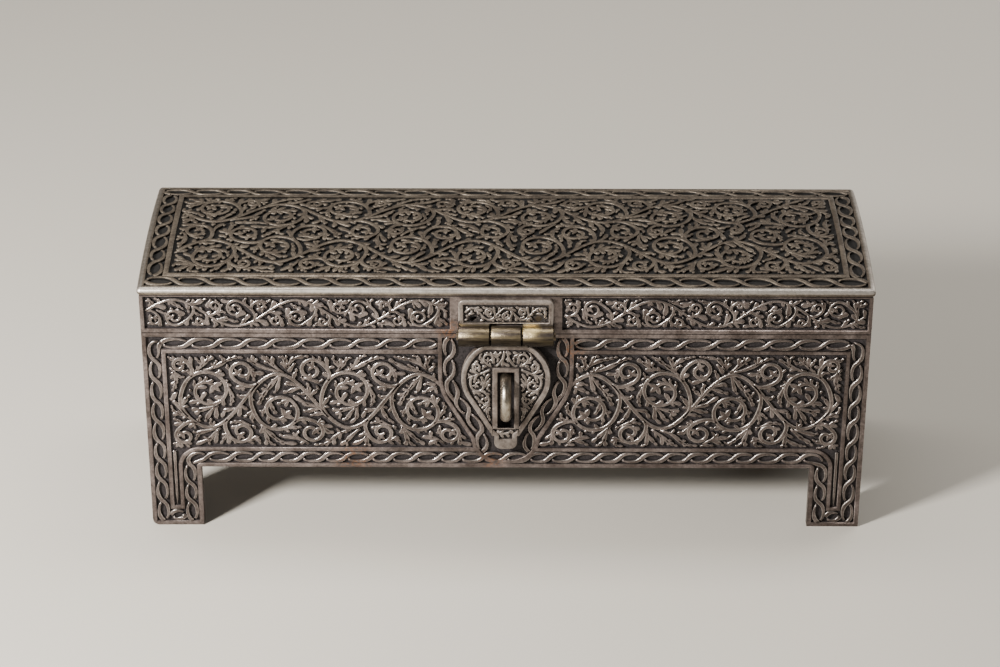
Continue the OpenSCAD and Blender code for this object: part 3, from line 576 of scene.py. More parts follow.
def rinceau(room, corner, size, lines, radii, seed, width=SCROLL_W, gap=GAP, cell=0.5, head=0.82):
    """Main lines first, then small spirals packed beside them from the largest down, then leaves in the gaps.
    Of many places where a spiral fits, the one with least room round it is taken, until none fits."""
    rng = np.random.default_rng(seed)
    lines = list(lines)
    packing, ground = (open_ground(room, corner, size, cell, gap) for _ in range(2))
    for line in lines:
        press(packing, line, width / 2)
    u, v, free, _ = packing
    ring = arc((0, 0), 1, 0, 330, 12)
    for radius in radii:
        while free.max() > radius + width / 2:
            rows, cols = np.nonzero(free > radius + width / 2)
            pick = rng.integers(0, len(rows), TRIES)
            centres = np.stack([u[cols[pick]], v[rows[pick]]], 1)
            round_about = free_at(packing, centres[:, None] + (radius + LOOK_ROUND) * ring)
            centre = centres[np.argmin(round_about.clip(-1, LOOK_MOST).mean(1))]
            press(packing, centre[None], radius + width / 2)
            lines.append(branch(centre, radius, lines))
    strokes = [(line, width / 2 * np.linspace(1.0, LINE_TAPER, len(line)), TOP) for line in lines]
    for line in lines:
        length = np.hypot(*np.diff(line, axis=0).T).sum()
        strokes += bud(line, min(BUD_BY_LENGTH * length + BUD_LEAST * width, BUD_MOST * width))
    for path, half, _ in strokes:
        press(ground, path, half)
    return kept_inside(strokes + small_leaves(ground, lines, 0.85 * gap, head), room)


def plate_room(u, v, half_l):
    """Distance to the edge of a wall's sunk field: to its ends and top, and to the fillet over the arch."""
    corner = half_l - FOOT_W
    x = np.abs(u)
    below = np.where(x < corner, v - FOOT_H, np.hypot(x - corner, np.maximum(v - FOOT_H, 0))) - FIELD_IN
    return np.minimum(np.minimum(half_l - x, SEAM_Z - v) - FIELD_IN, below)


def front_room(u, v):
    """Room in the front cartouches: the wall's field, and clear of the shield's fillet round the hasp."""
    beside = np.where(v > BELLY_Z, np.abs(u) - BELLY_R, pear_gap(u, v))
    return np.minimum(plate_room(u, v, CASE_L / 2), beside - SHIELD_GAP - BAND_W - FILLET_W)


field_low, field_high = FOOT_H + FIELD_IN, SEAM_Z - FIELD_IN
field_x, field_h = CASE_L / 2 - FIELD_IN, field_high - field_low
middle = (field_low + field_high) / 2
wall_hollow = (field_x - STEM_MARGIN - WALL_STEM_X) / WALL_HOLLOWS
half_scroll = main_lines(WALL_STEM_X, wall_hollow, WALL_HOLLOWS, middle, WALL_RISE, WALL_COIL_R)
for label, side in (("left", -1), ("right", 1)):
    corner = (min(side * field_x, side * WALL_FIELD_X), field_low)
    lines = [line * (side, 1) for line in half_scroll]
    pattern = rinceau(front_room, corner, (field_x - WALL_FIELD_X, field_h), lines, SMALL_RADII, 40 + side)
    carved("front_scroll_" + label, on_front, pattern, "box", case_steel)

# Channels of the legs: a thin spear runs down from each lower corner of a cartouche between the two fillets.
# It is what the chisel left between two straight cuts.
SPEAR_LOW, SPEAR_HIGH, SPEAR_POINT = 7.6, 27.0, 4.0
SPEAR_HALF = (0.08, 0.42, 0.5)


def spears(half_l):
    """One tapered line down the middle of each leg's channel."""
    x = half_l - FOOT_W / 2
    _, path = along([(0, SPEAR_HIGH), (0, SPEAR_LOW)], LINE_STEP)
    half = np.interp(path[:, 1], (SPEAR_LOW, SPEAR_LOW + SPEAR_POINT, SPEAR_HIGH), SPEAR_HALF)
    return [(path + (side * x, 0), half, TOP) for side in (-1, 1)]


carved("front_spears", on_front, spears(CASE_L / 2), "box", case_steel)

# Back wall: the same frame of twists, broken at the two plain seats of the rear hinges,
# and one long cartouche of the same scrolls across it.
HINGE_X, HINGE_SEAT, SEAT_LOW = 65.0, 14.6, 55.75
BACK_HOLLOWS = 9

back_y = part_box("back_wall")[1].y / MM
on_back = flat_face((0, back_y, 0), (-1, 0, 0), (0, 1, 0))


def clear_of_square(across, beyond):
    """Distance from a square corner, given how far past each of its two sides a point is; below 0 inside."""
    outside = np.hypot(np.maximum(across, 0), np.maximum(beyond, 0))
    return np.where((across < 0) & (beyond < 0), np.maximum(across, beyond), outside)


def back_room(u, v):
    """Room in the back cartouche: the wall's field, and clear of the two square hinge seats."""
    seat = clear_of_square(np.abs(np.abs(u) - HINGE_X) - HINGE_SEAT, SEAT_LOW - v)
    return np.minimum(plate_room(u, v, CASE_L / 2), seat)


seat_in, seat_out = HINGE_X - HINGE_SEAT, HINGE_X + HINGE_SEAT
runs = ((-far, -seat_out), (-seat_in, seat_in), (seat_out, far))
carved("back_twists", on_back, frame_bands(CASE_L / 2, runs, 50), "box", case_steel)
back_start = STEM_MARGIN - field_x
back_hollow = -2 * back_start / BACK_HOLLOWS
back_lines = main_lines(back_start, back_hollow, BACK_HOLLOWS, middle, WALL_RISE, WALL_COIL_R)
back_pattern = rinceau(back_room, (-field_x, field_low), (2 * field_x, field_h), back_lines, SMALL_RADII, 60)
carved("back_scroll", on_back, back_pattern + spears(CASE_L / 2), "box", case_steel)

# End walls: short plates with the same frame, their feet closing the corners of the case,
# and a shorter cartouche of the same scrolls each.
END_HOLLOWS = 2

end_half = CASE_W / 2
end_field = end_half - FIELD_IN


def end_face(side):
    """The outer face of the left or right end, where side is -1 or 1."""
    return flat_face((side * CASE_L / 2, CASE_Y, 0), (0, side, 0), (side, 0, 0))


def end_room(u, v):
    """Room in an end's cartouche: the field of a wall as long as the case is wide."""
    return plate_room(u, v, end_half)


end_run = end_half - EDGE_W
end_start = STEM_MARGIN - end_field
end_hollow = -2 * end_start / END_HOLLOWS
end_lines = main_lines(end_start, end_hollow, END_HOLLOWS, middle, WALL_RISE, WALL_COIL_R)
end_corner, end_size = (-end_field, field_low), (2 * end_field, field_h)
for label, side in (("left", -1), ("right", 1)):
    end_twists = frame_bands(end_half, ((-end_run, end_run),), 70 + side)
    carved(label + "_twists", end_face(side), end_twists, "box", case_steel)
    end_pattern = rinceau(end_room, end_corner, end_size, end_lines, SMALL_RADII, 80 + side)
    carved(label + "_scroll", end_face(side), end_pattern + spears(end_half), "box", case_steel)

# Inside: the floor plate, the bent partition and the seat ring of the inkwell, with the staple's
# backing plate. Plain sheet steel, planished with the hammer and browned, never polished.
SHEET_STEEL, SHEET_BROWN = "5d564d", "41372d"
SCRATCH, SCRATCH_D = 0.7, 0.12


def aged_metal(name, bright, dull, rough, blotch, streak=(1, 1, 1)):
    """Plain metal: two tones mixed by blotches of a given size in mm and by scratches drawn out along one
    axis or more. The scratches are wider than real ones, which would not show."""
    material, tree, shader = new_material(name)
    where = add_node(tree, "TexCoord").outputs["Object"]
    drawn = add_node(tree, "Mapping", {}, {"Vector": where, "Scale": streak}).outputs["Vector"]
    blotches = add_node(tree, "TexNoise", {}, {
        "Vector": where, "Scale": 1 / (blotch * MM), "Detail": 5.0, "Roughness": 0.62}).outputs["Fac"]
    scratches = add_node(tree, "TexNoise", {}, {
        "Vector": drawn, "Scale": 1 / (SCRATCH * MM), "Detail": 3.0, "Roughness": 0.7}).outputs["Fac"]
    both = add_node(tree, "Math", {"operation": "MULTIPLY_ADD"}, {
        0: scratches, 1: 0.6, 2: blotches}).outputs[0]
    aged = add_node(tree, "MapRange", {}, {
        "Value": both, "From Min": 0.62, "From Max": 0.98}).outputs["Result"]
    colour = add_node(tree, "Mix", {"data_type": "RGBA"}, {
        0: aged, 6: linear(bright), 7: linear(dull)}).outputs[2]
    gloss = add_node(tree, "MapRange", {}, {
        "Value": aged, "To Min": rough - 0.08, "To Max": rough + 0.15}).outputs["Result"]
    dents = add_node(tree, "Bump", {}, {"Height": both, "Strength": 0.25, "Distance": SCRATCH_D * MM})
    for socket, source in (("Base Color", colour), ("Roughness", gloss), ("Normal", dents.outputs["Normal"])):
        tree.links.new(source, shader.inputs[socket])
    shader.inputs["Metallic"].default_value = 1.0
    return material


def finish_nodes(names, material):
    """Gives CAD nodes whose shape is right their finish."""
    for name in names:
        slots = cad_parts[name].data.materials
        slots.clear()
        slots.append(material)


# Browned sheet gives the eye a dark, dull brown-grey in broad clouds.
browned_steel = aged_metal("browned_sheet_steel", SHEET_STEEL, SHEET_BROWN, 0.5, 7)
finish_nodes(("floor_plate", "partition", "inkwell_seat", "staple_rove"), browned_steel)

# Inkwell: a turned brass pot that stands in its ring, with a domed cover that drops over the neck.
# Lathe lines run round it; the brass has gone dull and brown with ink and handling.
BRASS, BROWN_BRASS = "a8864a", "6b5026"

# Turned brass gives the eye a soft yellow gloss with brown clouds and fine level lines.
finish_nodes(("inkwell", "inkwell_cover"),
             aged_metal("turned_brass", BRASS, BROWN_BRASS, 0.34, 9, (0.15, 0.15, 1)))

# Staple: a forged rod bent to a half ring, its legs riveted over the backing plate inside the wall.
# The drop rubs it bright along its outer side.
ROD_STEEL, ROD_BROWN = "b5aea2", "7a6e5e"

# A rubbed rod gives the eye a pale grey gloss with brown streaks up its legs.
finish_nodes(("staple",), aged_metal("rubbed_rod_steel", ROD_STEEL, ROD_BROWN, 0.32, 5, (1, 1, 0.2)))

# Rear hinges: plain sheet leaves rolled round a pin, riveted to the back wall and the back skirt.
# Same steel as the hasp, with dark copper rivets.
HINGE_STEEL, HINGE_BROWN, RIVET, RIVET_DARK = "847b6e", "5a4d3e", "8a6448", "4e382a"

# Filed steel gives the eye a satin grey streaked along the leaf, and old copper a dark red-brown.
hinge_steel = aged_metal("filed_hinge_steel", HINGE_STEEL, HINGE_BROWN, 0.42, 8, (0.15, 1, 1))
finish_nodes(("left_hinge_case_leaf", "right_hinge_case_leaf", "left_hinge_lid_leaf", "right_hinge_lid_leaf",
              "left_hinge_pin", "right_hinge_pin"), hinge_steel)
finish_nodes(("hinge_case_rivets", "hinge_lid_rivets"),
             aged_metal("copper_rivets", RIVET, RIVET_DARK, 0.4, 3))

# Lid top: one plate bent to a low camber, its edge filed to a full round and polished by use.
# The sunk band and the long field inside it were chiselled after bending.
LID_T, CAMBER, LID_Z, SKIRT_H = 2.6, 2.2, 68.9, 12.5
LID_EDGE, LID_BAND, LID_FILLET = 1.5, 5.2, 1.6
LID_R = (end_half ** 2 + CAMBER ** 2) / (2 * CAMBER) + LID_T
LID_AXIS_Z = LID_Z + SKIRT_H + CAMBER + LID_T - LID_R
LID_STEEL, LID_BROWN, LID_GROUND = "83796d", "5d544b", "121010"
LID_LINE, LID_GAP, LID_LONG_PITCH, LID_SHORT_PITCH = 1.2, 0.5, 9.6, 7.9
# Polish of the round edge, most at the front: full this far in. It is kept to the upper half, rising from
# below to above mid-thickness, as a painted highlight.
FRONT_POLISH, OTHER_POLISH, POLISH_IN, UPPER_SHEEN_LOW, UPPER_SHEEN_FULL = 0.66, 0.4, 0.6, 0.3, 0.5
LID_HOLLOWS, LID_RISE, LID_COIL_R = 10, 6.5, 7.0
# Profile of a line on the lid: flatter than the walls', because the lid is rubbed more.
FLAT_CROWN = np.array([(-1.03, 0, 0), (-1.0, 0.8, 0), (-0.97, 0.96, 0), (-0.9, 1, 0),
                       (0.9, 1, 0), (0.97, 0.96, 0), (1.0, 0.8, 0), (1.03, 0, 0)])


def on_lid(u, v, h):
    """Places (u, v, h) on the camber: u along the box, v round the arc towards the back, h outwards."""
    r, a = LID_R + h, v / LID_R
    return np.stack([u + 0 * h, CASE_Y + r * np.sin(a), LID_AXIS_Z + r * np.cos(a)], -1)


def lid_relief(x, y, z):
    """Relief by the depth below the camber inside the border, and more than 1 on the round of the edge: most
    along the front, where it is handled, and only on its upper half, where it is a painted highlight."""
    depth = LID_R - np.hypot(y - CASE_Y, z - LID_AXIS_Z)
    inset = np.minimum(*wall_depths(x, y))
    handled = np.where(y < CASE_Y - CASE_W / 2 + LID_EDGE, FRONT_POLISH, OTHER_POLISH)
    # Painted highlight: the polish fades out below the edge's mid-thickness, so only the upper half turns
    # bright.
    above = ease(-depth, -LID_T / 2 - UPPER_SHEEN_LOW, -LID_T / 2 + UPPER_SHEEN_FULL)
    edge = 1 + handled * ease(-inset, -LID_EDGE, -POLISH_IN) * above
    return np.where(inset < LID_EDGE - ON_FACE, edge, relief_at(depth))


def lid_arrises(a, b):
    """Edges in the face of the top plate, round its sunk bands and field."""
    picked = np.ones(a.shape[1], bool)
    for point in (a, b):
        picked &= np.minimum(*wall_depths(point[0], point[1])) > LID_EDGE - 2 * ON_FACE
        picked &= LID_R - np.hypot(point[1] - CASE_Y, point[2] - LID_AXIS_Z) < ON_FACE
    return picked


lid_steel = chiselled_steel("chiselled_steel_lid", LID_STEEL, LID_BROWN, LID_GROUND, 0.48, 0.36)
worn_plate("lid_top", "lid", lid_steel, lid_relief, lid_arrises)
band_v, band_u = end_half - LID_EDGE - LID_BAND / 2, CASE_L / 2 - LID_EDGE - LID_BAND / 2
long_u, short_v = CASE_L / 2 - LID_EDGE, end_half - LID_EDGE - LID_BAND
lid_twists = []
for side in (-1, 1):
    long_run = [(-long_u, side * band_v), (long_u, side * band_v)]
    short_run = [(side * band_u, -short_v), (side * band_u, short_v)]
    lid_twists += twist(long_run, -1, LID_LONG_PITCH, 90 + side, LID_BAND, LID_LINE)
    lid_twists += twist(short_run, side, LID_SHORT_PITCH, 94 + side, LID_BAND, LID_LINE)
carved("lid_twists", on_lid, lid_twists, "lid", lid_steel, crown=FLAT_CROWN)
lid_u, lid_v = long_u - LID_BAND - LID_FILLET, short_v - LID_FILLET


def lid_room(u, v):
    """Room in the lid's field: distance to the fillet round it."""
    return np.minimum(lid_u - np.abs(u), lid_v - np.abs(v))


lid_start = STEM_MARGIN - lid_u
lid_hollow = -2 * lid_start / LID_HOLLOWS
lid_tier = main_lines(lid_start, lid_hollow, LID_HOLLOWS, -lid_v / 2, LID_RISE, LID_COIL_R)
lid_lines = [line * (1, side) for side in (1, -1) for line in lid_tier]
lid_pattern = rinceau(lid_room, (-lid_u, -lid_v), (2 * lid_u, 2 * lid_v), lid_lines, SMALL_RADII, 100,
                      width=LID_LINE, gap=LID_GAP)
carved("lid_scroll", on_lid, lid_pattern, "lid", lid_steel, crown=FLAT_CROWN)

# Lid skirts: four mitred strips soldered under the top plate, with a running vine in a sunk panel
# on each side of the hasp, between the rear hinges and along both ends.
VINE_LOW, VINE_HIGH, VINE_EDGE = 70.1, 81.0, 1.2
VINE_W, VINE_GAP = 0.9, 0.33
VINE_HOLLOW, VINE_MARGIN, VINE_COIL_R = 18.0, 1.0, 3.3
VINE_RADII = (2.2, 1.8, 1.5)
LEAF_CLEAR_X = 16.9


def vine(start, end, seed):
    """A stem with a hollow every 18 mm or so of the panel, with its spirals and leaves. An odd seed turns its
    first wave down."""
    def room(u, v):
        return np.minimum(np.minimum(u - start, end - u), np.minimum(v - VINE_LOW, VINE_HIGH - v))

    long, tall = end - start, VINE_HIGH - VINE_LOW
    count = max(1, round(long / VINE_HOLLOW))
    flip = -1 if seed % 2 else 1
    lines = main_lines(start, long / count, count, (VINE_LOW + VINE_HIGH) / 2, tall / 2 - VINE_MARGIN,
                       VINE_COIL_R, flip)
    return rinceau(room, (start, VINE_LOW), (long, tall), lines, VINE_RADII, seed,
                   width=VINE_W, gap=VINE_GAP, cell=0.3, head=1.0)


for skirt in ("lid_front_skirt", "lid_back_skirt", "lid_left_skirt", "lid_right_skirt"):
    worn_plate(skirt, "lid", case_steel, wall_relief, wall_arrises)
vine_x, vine_end = CASE_L / 2 - VINE_EDGE, end_half - VINE_EDGE
front_vines = vine(-vine_x, -LEAF_CLEAR_X, 110) + vine(LEAF_CLEAR_X, vine_x, 111)
carved("front_vines", on_front, front_vines, "lid", case_steel)
back_vines = vine(-vine_x, -seat_out, 112) + vine(-seat_in, seat_in, 113) + vine(seat_out, vine_x, 114)
carved("back_vines", on_back, back_vines, "lid", case_steel)
for label, side in (("left", -1), ("right", 1)):
    carved(label + "_vine", end_face(side), vine(-vine_end, vine_end, 116 + side), "lid", case_steel)

# Hasp leaf: a small steel plate riveted to the front skirt through its right hole; the left hole is empty.
# Its lower edge is rolled to two knuckles, rubbed brassy with a trace of gilding; a rim stands round a
# sunk vine.
LEAF_Y, RIM_W, RIM_D, LEAF_ARRIS = -33.75, 1.5, 0.8, 0.25
HASP_STEEL, HASP_BROWN, HASP_GROUND = "8a807a", "5b514b", "2b2625"
# The second colour is painted shade, for the rolls' lower half and the gaps between them.
KNUCKLE_BRASS, KNUCKLE_PAINTED_SHADE, GILT = "9c8e72", "15110e", "e6cf98"
PIN_Y, PIN_Z, KNUCKLE_R, KNUCKLE_GAP_X, GAP_HALF = -35.15, 69.8, 3.1, 4.75, 0.36
GILT_AT, GILT_R, GILT_FULL = (7.6, PIN_Y - 0.4, PIN_Z + 3.0), 3.4, 1.4
# Streaks of the rolls, and the heights over the pin where the painted shade on their lower half starts and is
# full.
ROLL_STREAK, STREAK_WAVER, PAINTED_SHADE_UP, PAINTED_SHADE_FULL = 1.1, 0.5, 1.7, 0.4
LEAF_HALF, LEAF_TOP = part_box("hasp_leaf")[1].x / MM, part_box("hasp_leaf")[1].z / MM
# Relief added by rubbing along the outline, where it starts, and what counts for the back and the tongue.
OUTLINE_RUB, RUB_FROM, BACK_RELIEF, TONGUE_IN, SAME_X = 0.4, 0.1, 0.8, 0.7, 0.01
LEAF_PANEL_X, LEAF_PANEL_LOW, LEAF_PANEL_HIGH = 12.8, 73.5, 79.6
HOLE_X, HOLE_Z, HOLE_CLEAR = 9.8, 74.65, 1.25
LEAF_STEM_X, LEAF_HOLLOWS, LEAF_RISE, LEAF_COIL_R = 12.6, 5, 2.0, 1.5
LEAF_LINE, LEAF_GAP, LEAF_RADII = 0.65, 0.24, (1.4,)


def hasp_relief(face_y, inset):
    """1 at the front of a fitting, falling to its ground's value at that depth, and more along its rubbed
    outline; knuckles stand in front of it."""
    def relief(x, y, z):
        low = np.interp(y - face_y, (0, RIM_D), (1, GROUND_RELIEF))
        rubbed = np.interp(inset(x, z), (RUB_FROM, RIM_W), (OUTLINE_RUB, 0))
        outline = (np.abs(y - face_y) < ON_FACE) * rubbed
        return np.where(y - face_y > INSIDE_FROM * RIM_D, BACK_RELIEF, low + outline)

    return relief


def leaf_inset(x, z):
    """Distance in from the leaf's outline, but for its rolled lower edge."""
    return np.minimum(LEAF_HALF - np.abs(x), LEAF_TOP - z)


def drop_inset(x, z):
    """Distance in from the drop's outline: from its pear, and a set value on the tongue below it."""
    return np.where(z > TAPER_Z, -pear_gap(x, z), TONGUE_IN)


def front_arrises(face_y):
    """Edges in the front face of a fitting, and round the ends of its knuckles."""
    def shown(a, b):
        front = np.maximum(np.abs(a[1] - face_y), np.abs(b[1] - face_y)) < ON_FACE
        off_round = [np.abs(np.hypot(p[1] - PIN_Y, p[2] - PIN_Z) - KNUCKLE_R) for p in (a, b)]
        return front | ((np.maximum(*off_round) < ON_FACE) & (np.abs(a[0] - b[0]) < SAME_X))

    return shown


def brassy_knuckles(material):
    """Chiselled steel whose rolled edge is brassy: its own colour gives way within a knuckle's reach of the
    pin, in streaks along it."""
    # It gives the eye warm streaked rolls, darkened to black on their lower half and in the gaps between them
    # by painted shade, and one pale gilt patch.
    tree = material.node_tree
    shader = tree.nodes["Principled BSDF"]
    plain = shader.inputs["Base Color"].links[0].from_socket
    where = add_node(tree, "TexCoord").outputs["Object"]
    end_on = add_node(tree, "VectorMath", {"operation": "MULTIPLY"}, {0: where, 1: (0, 1, 1)}).outputs[0]
    from_pin = add_node(tree, "VectorMath", {"operation": "DISTANCE"}, {
        0: end_on, 1: (0, PIN_Y * MM, PIN_Z * MM)}).outputs["Value"]
    rolled = add_node(tree, "MapRange", {}, {
        "Value": from_pin, "From Min": 1.35 * KNUCKLE_R * MM,
        "From Max": 1.05 * KNUCKLE_R * MM}).outputs["Result"]
    drawn = add_node(tree, "Mapping", {}, {"Vector": where, "Scale": (0.12, 1, 1)}).outputs["Vector"]
    streaks = add_node(tree, "TexNoise", {}, {
        "Vector": drawn, "Scale": 1 / (ROLL_STREAK * MM), "Detail": 3.0}).outputs["Fac"]
    streaks = add_node(tree, "MapRange", {}, {
        "Value": streaks, "From Min": 0.38, "From Max": 0.62}).outputs["Result"]
    tint = add_node(tree, "Math", {"operation": "MULTIPLY"}, {0: rolled, 1: streaks}).outputs[0]
    colour = add_node(tree, "Mix", {"data_type": "RGBA"}, {
        0: tint, 6: plain, 7: linear(KNUCKLE_BRASS)}).outputs[2]
    place = add_node(tree, "SeparateXYZ", {}, {"Vector": where}).outputs
    height = add_node(tree, "Math", {"operation": "MULTIPLY_ADD"}, {
        0: streaks, 1: STREAK_WAVER * MM, 2: place["Z"]}).outputs[0]
    # Painted shade: below the pin and in the gaps between the rolls the colour goes to near black.
    painted_shade = add_node(tree, "MapRange", {}, {
        "Value": height, "From Min": (PIN_Z + PAINTED_SHADE_UP) * MM, "From Max": (PIN_Z + PAINTED_SHADE_FULL) * MM,
        "To Max": 0.88}).outputs["Result"]
    beside = add_node(tree, "Math", {"operation": "ABSOLUTE"}, {0: place["X"]}).outputs[0]
    beside = add_node(tree, "Math", {"operation": "COMPARE"}, {
        0: beside, 1: KNUCKLE_GAP_X * MM, 2: GAP_HALF * MM}).outputs[0]
    painted_shade = add_node(tree, "Math", {"operation": "MAXIMUM"}, {0: painted_shade, 1: beside}).outputs[0]
    painted_shade = add_node(tree, "Math", {"operation": "MULTIPLY"}, {0: painted_shade, 1: rolled}).outputs[0]
    colour = add_node(tree, "Mix", {"data_type": "RGBA"}, {
        0: painted_shade, 6: colour, 7: linear(KNUCKLE_PAINTED_SHADE)}).outputs[2]
    away = add_node(tree, "VectorMath", {"operation": "DISTANCE"}, {
        0: where, 1: tuple(k * MM for k in GILT_AT)}).outputs["Value"]
    gilt = add_node(tree, "MapRange", {}, {
        "Value": away, "From Min": GILT_R * MM, "From Max": GILT_FULL * MM}).outputs["Result"]
    gilt = add_node(tree, "Math", {"operation": "MULTIPLY"}, {0: gilt, 1: rolled}).outputs[0]
    colour = add_node(tree, "Mix", {"data_type": "RGBA"}, {
        0: gilt, 6: colour, 7: linear(GILT)}).outputs[2]
    metal = add_node(tree, "Math", {"operation": "MAXIMUM"}, {
        0: shader.inputs["Metallic"].links[0].from_socket, 1: rolled}).outputs[0]
    tree.links.new(colour, shader.inputs["Base Color"])
    tree.links.new(metal, shader.inputs["Metallic"])
    return material


def fitting_face(y):
    """The upright front face of a fitting at a given y."""
    return flat_face((0, y, 0), (1, 0, 0), (0, -1, 0))


hasp_steel = brassy_knuckles(
    chiselled_steel("chiselled_steel_hasp", HASP_STEEL, HASP_BROWN, HASP_GROUND, metallic=0.35))
worn_plate("hasp_leaf", "lid", hasp_steel, hasp_relief(LEAF_Y, leaf_inset), front_arrises(LEAF_Y),
           arris=LEAF_ARRIS, holed=True)
finish_nodes(("hasp_leaf_rivet",), browned_steel)
finish_nodes(("hasp_pin",), hinge_steel)


def leaf_room(u, v):
    """Room in the leaf's panel: distance to its rim and to the two rivet holes."""
    rim = np.minimum(LEAF_PANEL_X - np.abs(u), np.minimum(v - LEAF_PANEL_LOW, LEAF_PANEL_HIGH - v))
    return np.minimum(rim, np.hypot(np.abs(u) - HOLE_X, v - HOLE_Z) - HOLE_CLEAR)


leaf_low, leaf_high = (-LEAF_PANEL_X, LEAF_PANEL_LOW), (LEAF_PANEL_X, LEAF_PANEL_HIGH)
leaf_lines = main_lines(-LEAF_STEM_X, 2 * LEAF_STEM_X / LEAF_HOLLOWS, LEAF_HOLLOWS,
                        (LEAF_PANEL_LOW + LEAF_PANEL_HIGH) / 2, LEAF_RISE, LEAF_COIL_R)
sprig = rinceau(leaf_room, leaf_low, np.subtract(leaf_high, leaf_low), leaf_lines, LEAF_RADII, 120,
                width=LEAF_LINE, gap=LEAF_GAP, cell=0.25, head=0.5)
carved("hasp_leaf_vine", fitting_face(LEAF_Y), sprig, "lid", hasp_steel, RIM_D)

# Hasp drop: a pear-shaped plate of the same steel that hangs from the centre knuckle, slotted for the staple,
# with a plain tongue to lift it by. A rim follows the outline and the slot; an ogee of two stems and small
# leaves fill the sunk ground.
DROP_Y, SLOT_X, SLOT_HIGH, SLOT_LOW, NECK_Z, DROP_ARRIS = -34.65, 2.55, 56.9, 37.4, 66.2, 0.2
FOOT_RIM, PLAIN_Z = 0.6, 33.2
DROP_LOW, DROP_H, DROP_LINE, DROP_GAP, OGEE_STEP = 33.0, 32.0, 0.75, 0.25, 0.4
OGEE = ((0.3, 64.4), (0.9, 61.6), (2.4, 59.4), (4.6, 57.8), (7.4, 56.5), (11.6, 54.8))
FOOT_STEM = ((-2.6, 36.2), (-1.6, 35.4), (-0.4, 35.2), (0.8, 35.5), (1.6, 36.1))
DROP_RADII = (2.6, 2.2, 1.8, 1.5)

worn_plate("hasp_drop", "hasp", hasp_steel, hasp_relief(DROP_Y, drop_inset), front_arrises(DROP_Y),
           arris=DROP_ARRIS, holed=True)


def drop_room(u, v):
    """Room on the drop: inside its rim, below its neck, above its tongue and clear of the slot's rim."""
    beyond = np.maximum(SLOT_LOW - FOOT_RIM - v, v - SLOT_HIGH - RIM_W)
    slot = clear_of_square(np.abs(u) - SLOT_X - RIM_W, beyond)
    inside = np.minimum(-pear_gap(u, v) - RIM_W, np.minimum(NECK_Z - RIM_W - v, v - PLAIN_Z))
    return np.minimum(inside, slot)


_, ogee = along(OGEE, OGEE_STEP)
arch = [ogee * (-1, 1), ogee, np.array(FOOT_STEM)]
sprays = rinceau(drop_room, (-BELLY_R, DROP_LOW), (2 * BELLY_R, DROP_H), arch, DROP_RADII, 121,
                 width=DROP_LINE, gap=DROP_GAP, cell=0.25, head=0.55)
carved("hasp_drop_leaves", fitting_face(DROP_Y), sprays, "hasp", hasp_steel, RIM_D)

# Studio: a pale paper floor, a small key light from the upper left that throws the hasp's shadow, a weak
# fill from the right, a strip overhead that draws the bright line along the lid's rounded edge, and a rear
# light for the back.
PAPER, PAPER_SHADE, PAPER_CLOUD, FLOOR_HALF = "cbc7bf", "c5c1b9", 0.4, 3.0
SKY, SKY_POWER, LAMP, LAMP_AIM = "d0ccc6", 0.15, "fffaf2", Vector((0, 0, 0.05))
TARGET = Vector((-1.866, 2.0, 49.871)) * MM
# Camera: how far it looks down, its turn, roll and distance, and its focal length in the photo's pixels.
RISE, YAW, ROLL, AWAY = math.radians(29.369), math.radians(-0.103), math.radians(0.117), 941.3 * MM
FOCAL_PIXELS, PHOTO_W, SENSOR = 2997.2, 1000, 36.0

floor_mesh = bpy.data.meshes.new("studio_floor")
floor_corners = [(x * FLOOR_HALF, y * FLOOR_HALF, 0) for x, y in ((-1, -1), (1, -1), (1, 1), (-1, 1))]
floor_mesh.from_pydata(floor_corners, [], [(0, 1, 2, 3)])
floor = bpy.data.objects.new("studio_floor", floor_mesh)
bpy.context.scene.collection.objects.link(floor)
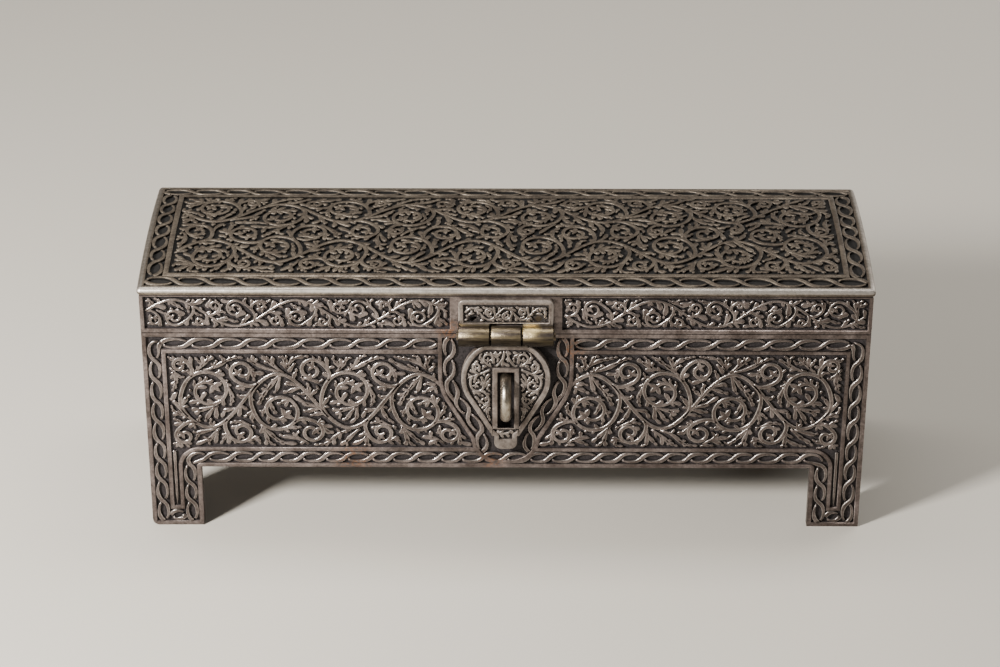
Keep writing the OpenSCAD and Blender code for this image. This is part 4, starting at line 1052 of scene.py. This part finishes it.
# Matt paper gives the eye an even pale grey with no gloss.
paper, tree, shader = new_material("matt_paper")
spot = add_node(tree, "TexCoord").outputs["Object"]
tone = add_node(tree, "TexNoise", {}, {
    "Vector": spot, "Scale": 1 / PAPER_CLOUD, "Detail": 3.0}).outputs["Fac"]
pale = add_node(tree, "Mix", {"data_type": "RGBA"}, {
    0: tone, 6: linear(PAPER_SHADE), 7: linear(PAPER)}).outputs[2]
tree.links.new(pale, shader.inputs["Base Color"])
shader.inputs["Roughness"].default_value = 0.85
floor_mesh.materials.append(paper)

world = bpy.data.worlds.new("studio")
bpy.context.scene.world = world
world.use_nodes = True
sky = world.node_tree.nodes["Background"].inputs
sky["Color"].default_value = linear(SKY)
sky["Strength"].default_value = SKY_POWER


def soft_light(name, place, size, power):
    """A rectangular light at a place in metres, of a size and a power in watts, turned to face the box."""
    data = bpy.data.lights.new(name, "AREA")
    data.shape, data.size, data.size_y, data.energy = "RECTANGLE", size[0], size[1], power
    data.color = linear(LAMP)[:3]
    light = bpy.data.objects.new(name, data)
    light.location = place
    light.rotation_euler = (LAMP_AIM - Vector(place)).to_track_quat("-Z", "Y").to_euler()
    bpy.context.scene.collection.objects.link(light)


soft_light("key", (-0.5, -0.42, 0.38), (0.12, 0.12), 14)
soft_light("fill", (0.9, -0.7, 0.6), (0.8, 0.6), 1.0)
soft_light("strip", (0.0, 0.2, 1.0), (1.3, 0.3), 7)
soft_light("rear", (0.75, 0.85, 0.4), (0.8, 0.6), 4.5)

camera_data = bpy.data.cameras.new("camera")
camera_data.lens = FOCAL_PIXELS * SENSOR / PHOTO_W
camera_data.sensor_width, camera_data.sensor_fit = SENSOR, "HORIZONTAL"
camera_data.clip_start = 0.01
ahead = Vector((math.sin(YAW) * math.cos(RISE), math.cos(YAW) * math.cos(RISE), -math.sin(RISE)))
right = Vector((math.cos(YAW), -math.sin(YAW), 0))
up = right.cross(ahead)
level_x = right * math.cos(ROLL) + up * math.sin(ROLL)
level_y = up * math.cos(ROLL) - right * math.sin(ROLL)
turn = Matrix((level_x, level_y, -ahead)).transposed().to_4x4()
camera = bpy.data.objects.new("camera", camera_data)
camera.matrix_world = Matrix.Translation(TARGET - ahead * AWAY) @ turn
bpy.context.scene.collection.objects.link(camera)
bpy.context.scene.camera = camera
